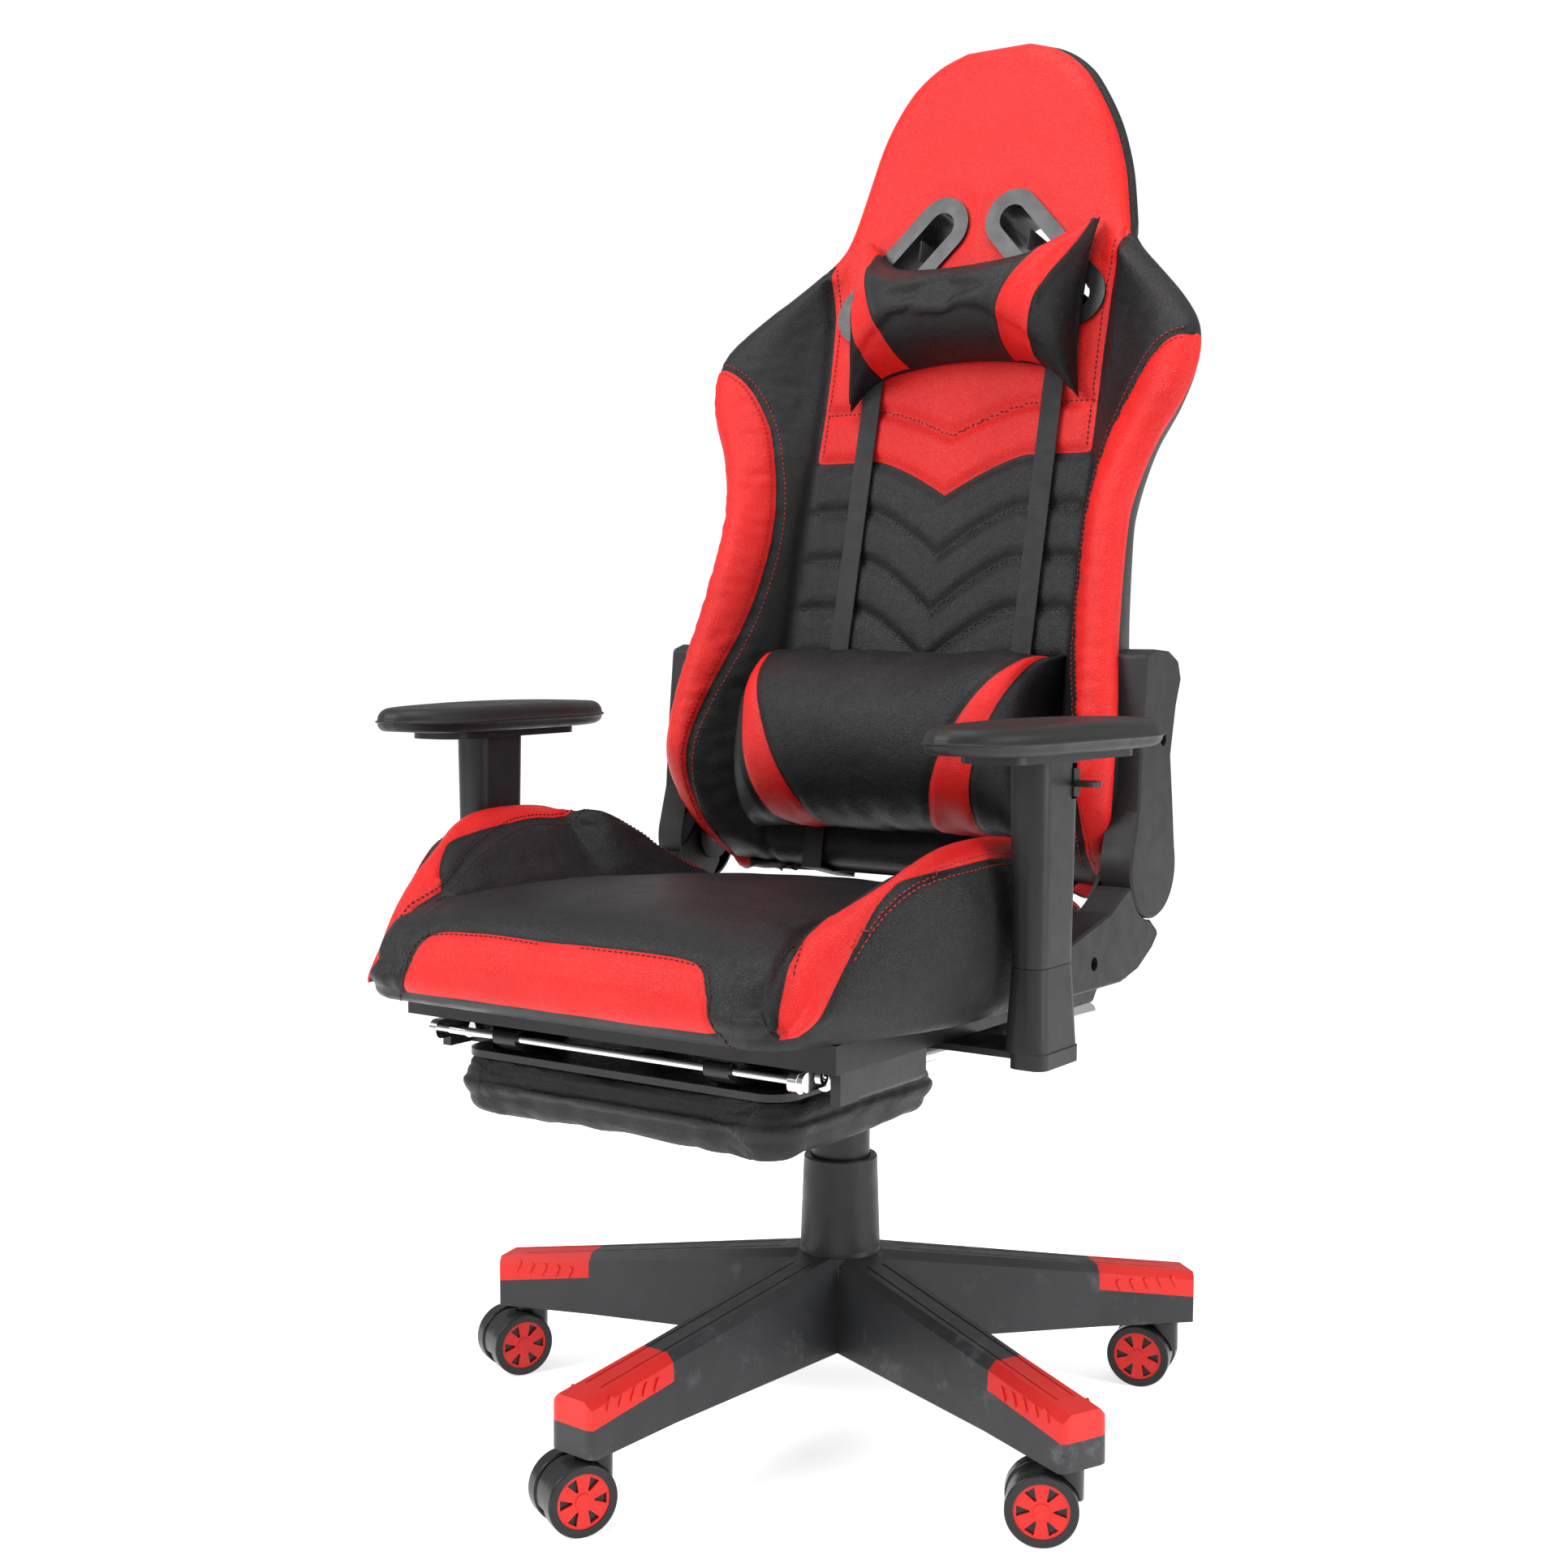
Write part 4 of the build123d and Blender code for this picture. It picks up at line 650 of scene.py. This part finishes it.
# The harness holes: the sheet is cut along each hole's outline, inside the bezel's flange.
bm = bmesh.new()
bm.from_mesh(backrest.data)
bm.verts.ensure_lookup_table()
hole = distance(far, bup, HOLE_ENDS) - HOLE_CUT
cuttable = (inset > 0.002) | is_rear
gone = [f for f in bm.faces if all(cuttable[v.index] and hole[v.index] < 0.0015 for v in f.verts)]
bmesh.ops.delete(bm, geom=gone, context="FACES")
for v in bm.verts:
    if v.index < len(hole) and cuttable[v.index] and abs(hole[v.index]) < 0.006 and v.is_boundary:
        x, up = bx[v.index], bup[v.index]
        (ax, ay), (cx, cy) = HOLE_ENDS
        share = ((abs(x) - ax) * (cx - ax) + (up - ay) * (cy - ay)) / ((cx - ax) ** 2 + (cy - ay) ** 2)
        share = max(0.0, min(1.0, share))
        near = (ax + share * (cx - ax), ay + share * (cy - ay))
        reach = math.hypot(abs(x) - near[0], up - near[1])
        move = HOLE_CUT / max(reach, 1e-6) - 1
        across = math.copysign(1, x) * (abs(x) - near[0]) * move
        along = (up - near[1]) * move
        v.co += Vector((across, *(along * UP)[1:]))
bmesh.ops.delete(bm, geom=[v for v in bm.verts if not v.link_faces], context="VERTS")
bm.to_mesh(backrest.data)
bm.free()

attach(backrest, "back")
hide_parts("backrest_shell")


def back_line(points):
    """A line on the back's front, from places across and up it."""
    across, up = np.array(points, float).T
    return on_back(across, up, back_front(across, up))


def beside(line, gap):
    """The line moved sideways by gap, to its left as it runs."""
    line = np.array(line, float)
    way = np.gradient(line, axis=0)
    way /= np.maximum(np.linalg.norm(way, axis=1), 1e-9)[:, None]
    return line + np.stack((-way[:, 1], way[:, 0]), 1) * gap


def mirrored(line):
    return [line, np.array(line, float) * np.array((-1, 1))]


STITCH_GAP = 0.0045                           # from a seam to the thread beside it
seam = np.array([p for p in BAND_SEAM if p[1] > 0.0 and p[0] < 0.262])
red_rows = [back_line(line) for gap in (STITCH_GAP, -STITCH_GAP) for line in mirrored(beside(seam, gap))]
panel_side = ((PANEL - STITCH_GAP, 0.41), (PANEL - STITCH_GAP, 0.56), (0.157, 0.612))
dark_rows = [back_line(line) for line in mirrored(panel_side)]
span = np.linspace(-PANEL + 0.004, PANEL - 0.004, 61)
v_rows = [back_line(np.stack((span, v_line(span, at, drop)), 1)) for at, drop in V_LINES]
dark_rows.append(v_rows[0])
grey_rows = v_rows[2:6]
stitches("back_red_stitching", "back", backrest, red_rows, RED_THREAD)
stitches("back_dark_stitching", "back", backrest, dark_rows, DARK_THREAD)
stitches("back_grey_stitching", "back", backrest, grey_rows, GREY_THREAD)

# ---------------------------------------------------------------- seat cushion
# Half width, heights and seams along the seat, from its front (-0.404) to its back.
SEAT_BOTTOM = 0.4268
seat_half = steps_of(((-0.404, 0.182), (-0.396, 0.199), (-0.380, 0.211), (-0.355, 0.220),
                      (-0.32, 0.234), (-0.27, 0.251), (-0.225, 0.260), (-0.17, 0.2615),
                      (-0.13, 0.259), (-0.105, 0.232), (-0.08, 0.223), (0.0, 0.222), (0.05, 0.221), (0.066, 0.216)))
middle_height = steps_of(((-0.404, 0.486), (-0.39, 0.497), (-0.36, 0.508), (-0.30, 0.514), (-0.20, 0.513),
                          (-0.11, 0.507), (0.0, 0.498), (0.066, 0.487)))
ridge_height = steps_of(((-0.404, 0.440), (-0.383, 0.470), (-0.357, 0.502), (-0.32, 0.525), (-0.29, 0.542),
                         (-0.26, 0.555), (-0.219, 0.566), (-0.153, 0.567), (-0.096, 0.558), (-0.048, 0.538),
                         (0.015, 0.508), (0.066, 0.488)))
inner_seam = steps_of(((-0.41, 0.204), (-0.385, 0.200), (-0.365, 0.194), (-0.345, 0.190), (-0.32, 0.191),
                       (-0.30, 0.197), (-0.27, 0.208), (-0.22, 0.219), (-0.18, 0.224), (-0.12, 0.222),
                       (-0.06, 0.208), (0.0, 0.199), (0.07, 0.195)))
outer_seam = steps_of(((-0.41, 0.400), (-0.375, 0.440), (-0.345, 0.482), (-0.32, 0.515), (-0.295, 0.536),
                       (-0.268, 0.547), (-0.20, 0.553), (-0.156, 0.550), (-0.10, 0.540), (-0.05, 0.520),
                       (0.0, 0.499), (0.07, 0.474)))
junction = steps_of(((-0.41, 0.200), (-0.385, 0.197), (-0.36, 0.190), (-0.33, 0.181), (-0.28, 0.173),
                     (0.07, 0.172)))             # where the bolsters leave the middle panel
FRONT_PANEL = np.vstack((curve(((-0.05, 0.490), (0.06, 0.491), (0.118, 0.489), (0.138, 0.482), (0.147, 0.466),
                                (0.154, 0.445), (0.167, 0.415)), 5), ((-0.05, 0.415),)))


def seat_top(x, y):
    far = np.abs(x)
    half = seat_half(y)
    crease = junction(y)
    share = smooth(far, crease - 0.006, np.maximum(half - 0.018, crease + 0.008))
    middle = middle_height(y) - 0.007 * (far / crease) ** 4 - 0.004 * (far / crease) ** 2
    return middle + (ridge_height(y) - middle) * share


def seat_under(x, y):
    return np.full(np.broadcast(x, y).shape, SEAT_BOTTOM)


y_rows = np.interp(np.linspace(0, 1, 151), (0, 0.1, 1), (-0.404, -0.380, 0.066))
seat, flat = slab("seat_cover", "seat", y_rows, seat_half, upright, seat_top, seat_under,
                  columns=181, sides=18, edge=0.020, under_edge=0.010, bulge=0.007)
sx, sy, s_inset = flat.T
flat_seat = coords(seat)                      # where the panels were cut, before they are filled
inflate(seat, 0.004, pressure=3.0, frames=10)
far, height = np.abs(sx), flat_seat[:, 2]
under = s_inset == -0.5
red_bolster = np.minimum(far - inner_seam(sy), (height - outer_seam(sy)) * 0.9)
red_front = np.where((sy < -0.34) & (flat_seat[:, 1] < -0.35),
                     signed(np.abs(flat_seat[:, 0]), height, FRONT_PANEL), -0.05)
field(seat, "red", np.where(under, -0.05, np.maximum(red_bolster, red_front)))
top_side = ~under
sewn(seat, [(top_side & (sy < 0.05), np.abs(far - junction(sy)), 0.0046, 0.0052),
            (top_side & (s_inset > 0), np.abs(far - inner_seam(sy)), 0.0022, 0.0036),
            (top_side & (far > 0.2), np.abs(height - outer_seam(sy)), 0.0022, 0.0036),
            (top_side & (sy < -0.34), np.abs(red_front), 0.0018, 0.0034)])
side_zone = (s_inset < 0) & ~under
wrinkle(seat, 0.0032, 0.060, (0.6, 1.0, 0.35), side_zone * smooth(sy, -0.30, -0.2))
wrinkle(seat, 0.0016, 0.045, (1.0, 0.6, 1.0), top_side * (far < 0.17) * smooth(-sy, -0.36, -0.30))
wrinkle(seat, 0.0016, 0.022, (2.2, 0.7, 1.0), top_side * smooth(far, 0.14, 0.165) * (far < 0.20))
seat.data.materials.append(LEATHER)
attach(seat, "seat")
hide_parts("seat_cushion")

lengths = np.linspace(-0.375, 0.045, 90)
rows = []
for sign in (1, -1):
    for gap in (0.0042, -0.0042):
        across = inner_seam(lengths) + gap
        rows.append(upright(sign * across, lengths, seat_top(across, lengths)))
        rows.append(upright(sign * (seat_half(lengths) + 0.002), lengths, outer_seam(lengths) + gap)[8:])
stitches("seat_red_stitching", "seat", seat, rows[1::2], RED_THREAD)
front_line = FRONT_PANEL[FRONT_PANEL[:, 0] > 0.0][:-1]
front_seam = beside(front_line, 0.004)
front_rows = [upright(sign * front_seam[:, 0], -0.400, front_seam[:, 1]) for sign in (1, -1)]
stitches("seat_dark_stitching", "seat", seat, front_rows + rows[0::2], DARK_THREAD)

# ---------------------------------------------------------------- lumbar cushion and headrest pillow


def strip(outer, inner):
    """The closed outline of a stripe, from its two edges."""
    return np.vstack((curve(outer, 6), curve(inner, 6)[::-1]))


def loose_cushion(name, body, node, centre, half, back, horn, waist, loft, blunt, stripe):
    """A loose cushion on the back: horned corners, a waist, and a red stripe near each end."""

    def corner(u, v):
        p = u * half[0] * (1 - waist[0] * (1 - v ** 2)) + centre[0]
        q = centre[1] + v * half[1] * (1 - waist[1] * (1 - u ** 2)) + horn * np.sign(v) * np.abs(v) * u ** 6
        return p, q

    def thickness(u, v):
        return loft * (1 - np.abs(u) ** blunt[0]) ** 0.5 * (1 - np.abs(v) ** blunt[1]) ** 0.5

    obj = pillow(name, body, on_back, corner, thickness, lambda u, v: back + 0.12 * thickness(u, v))
    inflate(obj, 0.006, pressure=2.5, frames=14, shrink=0.02)
    subdivide(obj)
    points = coords(obj)
    px = np.abs(points[:, 0] - centre[0])
    pq = (points - FOOT) @ UP - centre[1]
    front = (points - FOOT) @ OUT - back
    red = np.where(front > 0.004, signed(px, pq, stripe), -0.02)
    field(obj, "red", red)
    depth = 0.0022 * np.exp(-(np.minimum(np.abs(red), 0.02) / 0.0034) ** 2)
    press(obj, depth)
    edge = smooth(np.abs(pq) / half[1], 0.62, 1.0) + smooth(px / half[0], 0.75, 1.0)
    wrinkle(obj, 0.0030, 0.030, (1.5, 0.5, 0.5), np.clip(edge, 0, 1) * (front > 0.006))
    wrinkle(obj, 0.0022, 0.075, (1.0, 0.8, 0.8), front > 0.006)
    obj.data.materials.append(LEATHER)
    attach(obj, body)
    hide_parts(node)


LUMBAR_STRIPE = strip(((0.153, 0.088), (0.146, 0.05), (0.131, -0.01), (0.112, -0.09)),
                      ((0.145, 0.088), (0.124, 0.045), (0.098, -0.01), (0.062, -0.09)))
PILLOW_STRIPE = strip(((0.128, 0.10), (0.116, 0.045), (0.100, -0.01), (0.086, -0.10)),
                      ((0.121, 0.10), (0.092, 0.035), (0.067, -0.02), (0.046, -0.10)))
CUSHION_BACK = 0.0125                         # how far the cushions' backs stand off the face plane
loose_cushion("lumbar_cover", "lumbar", "lumbar_cushion", (0.0, 0.1185), (0.165, 0.090), CUSHION_BACK,
              0.002, (0.0, 0.02), 0.088, (9, 2.6), LUMBAR_STRIPE)
pillow_low, pillow_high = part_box("headrest_pillow")
loose_cushion("pillow_cover", "pillow", "headrest_pillow",
              ((pillow_low.x + pillow_high.x) / 2, 0.545), (0.133, 0.068), CUSHION_BACK,
              0.024, (0.05, 0.26), 0.068, (5, 2.2), PILLOW_STRIPE)

# ---------------------------------------------------------------- footrest pad
FOOT_CORNER = 0.028                           # radius of the pad's corners, seen from above
foot_low, foot_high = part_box("footrest_pad")
foot_middle, foot_reach = (foot_low.y + foot_high.y) / 2, (foot_high.y - foot_low.y) / 2


def foot_half(y):
    past = np.clip(np.abs(y - foot_middle) - foot_reach + FOOT_CORNER, 0, FOOT_CORNER)
    return foot_high.x - FOOT_CORNER + np.sqrt(FOOT_CORNER ** 2 - past ** 2)


def foot_under(x, y):
    return np.full(np.broadcast(x, y).shape, foot_low.z)


share_along = np.linspace(0, 1, 71)
foot_rows = foot_low.y + 2 * foot_reach * (0.5 - 0.5 * np.cos(share_along * math.pi))
foot, flat = slab("footrest_cover", "footrest_panel", foot_rows, foot_half, upright,
                  lambda x, y: np.full(np.shape(x), foot_high.z - 0.0005), foot_under, columns=91, sides=11,
                  edge=0.008, under_edge=0.014, bulge=0.006)
inflate(foot, 0.005, pressure=2.5, frames=12, shrink=0.01)
set_coords(foot, np.minimum(coords(foot), (9, 9, foot_high.z)))
foot_side = (flat[:, 2] < 0) & (flat[:, 2] != -0.5)
press(foot, 0.0022 * np.exp(-(np.abs(flat[:, 2] + 0.007) / 0.003) ** 2) * foot_side)
wrinkle(foot, 0.0026, 0.034, (1.4, 0.8, 0.5), coords(foot)[:, 2] < foot_high.z - 0.002)
foot.data.materials.append(BLACK)
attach(foot, "footrest_panel")
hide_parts("footrest_pad")

# ---------------------------------------------------------------- arm pads
TOE_IN = math.radians(4.0)
PAD_LENGTH, PAD_WIDE = 0.149, 0.0462          # half of each
pad_rows = PAD_LENGTH * np.sin(np.linspace(-1, 1, 81) * math.pi / 2)

for side, sign in (("left", 1), ("right", -1)):
    low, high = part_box(f"arm_pad_{side}")
    centre = (low + high) / 2

    def on_arm(p, q, level, sign=sign, centre=centre):
        p, q, level = np.broadcast_arrays(p, q, level)
        turn = -sign * TOE_IN
        return np.stack((centre.x + p * math.cos(turn) - q * math.sin(turn),
                         centre.y + p * math.sin(turn) + q * math.cos(turn), level), -1)

    def pad_half(q):
        return PAD_WIDE * np.sqrt(np.maximum(1 - np.abs(q / (PAD_LENGTH + 0.0006)) ** 3.4, 0.0))

    def pad_top(p, q):
        return high.z + 0.001 - 0.004 * (q / PAD_LENGTH) ** 2 - 0.003 * (p / PAD_WIDE) ** 2

    def pad_under(p, q):
        return low.z + 0.0002 + 0.003 * np.abs(q / PAD_LENGTH) ** 5 + 0.001 * (p / PAD_WIDE) ** 4

    pad, _ = slab(f"arm_pad_cover_{side}", f"arm_{side}", pad_rows, pad_half, on_arm, pad_top, pad_under,
                  columns=41, sides=7, edge=0.010, under_edge=0.007, bulge=0.002)
    pad.data.materials.append(PAD)
    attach(pad, f"arm_{side}")
    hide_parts(f"arm_pad_{side}")

# ---------------------------------------------------------------- floor, light and camera
SKY_LIGHT, SKY_SEEN = 0.46, 1.0               # the sky's strength as light, and as background
floor_mesh = mesh_from("floor", [(-30, -30, 0), (30, -30, 0), (30, 30, 0), (-30, 30, 0)], [(0, 1, 2, 3)])
floor = bpy.data.objects.new("floor", floor_mesh)
bpy.context.scene.collection.objects.link(floor)
pale = Nodes("pale_floor")
floor_mesh.materials.append(pale.finish(shade(0.92, 0.92, 0.92), 0.9, Emission_Strength=0.66))

world = bpy.data.worlds.new("studio")
world.use_nodes = True
sky = world.node_tree.nodes["Background"]
sky.inputs["Color"].default_value = shade(1.0, 1.0, 1.0)
ray = world.node_tree.nodes.new("ShaderNodeLightPath")
level = world.node_tree.nodes.new("ShaderNodeMapRange")
level.inputs["To Min"].default_value = SKY_LIGHT
level.inputs["To Max"].default_value = SKY_SEEN
world.node_tree.links.new(ray.outputs["Is Camera Ray"], level.inputs["Value"])
world.node_tree.links.new(level.outputs[0], sky.inputs["Strength"])
bpy.context.scene.view_settings.view_transform = "Standard"
bpy.context.scene.world = world


def softbox(name, place, target, size, watts):
    light = bpy.data.lights.new(name, "AREA")
    light.shape = "RECTANGLE"
    light.size, light.size_y = size
    light.energy = watts
    obj = bpy.data.objects.new(name, light)
    bpy.context.scene.collection.objects.link(obj)
    obj.location = place
    obj.rotation_euler = (Vector(target) - Vector(place)).to_track_quat("-Z", "Y").to_euler()


softbox("key_light", (-1.6, -2.4, 2.5), (0, -0.1, 0.7), (1.6, 1.6), 84)
softbox("side_light", (2.6, 0.3, 1.3), (0, 0.1, 0.7), (0.8, 2.0), 40)
softbox("top_light", (0.2, -0.4, 3.0), (0, 0, 0.5), (1.8, 1.8), 48)

CAMERA = Vector((1.053, -1.617, 0.733))
HEADING, PITCH, ROLL = math.radians(34.67), math.radians(4.30), math.radians(0.21)
forward = Vector((-math.sin(HEADING) * math.cos(PITCH),
                  math.cos(HEADING) * math.cos(PITCH), -math.sin(PITCH)))
sideways = forward.cross(Vector((0, 0, 1))).normalized()
above = sideways.cross(forward)
right = sideways * math.cos(ROLL) + above * math.sin(ROLL)
above = above * math.cos(ROLL) - sideways * math.sin(ROLL)
camera_data = bpy.data.cameras.new("camera")
camera_data.lens, camera_data.sensor_width = 48.52, 36.0
camera = bpy.data.objects.new("camera", camera_data)
bpy.context.scene.collection.objects.link(camera)
camera.matrix_world = Matrix.Translation(CAMERA) @ Matrix((right, above, -forward)).transposed().to_4x4()
bpy.context.scene.camera = camera
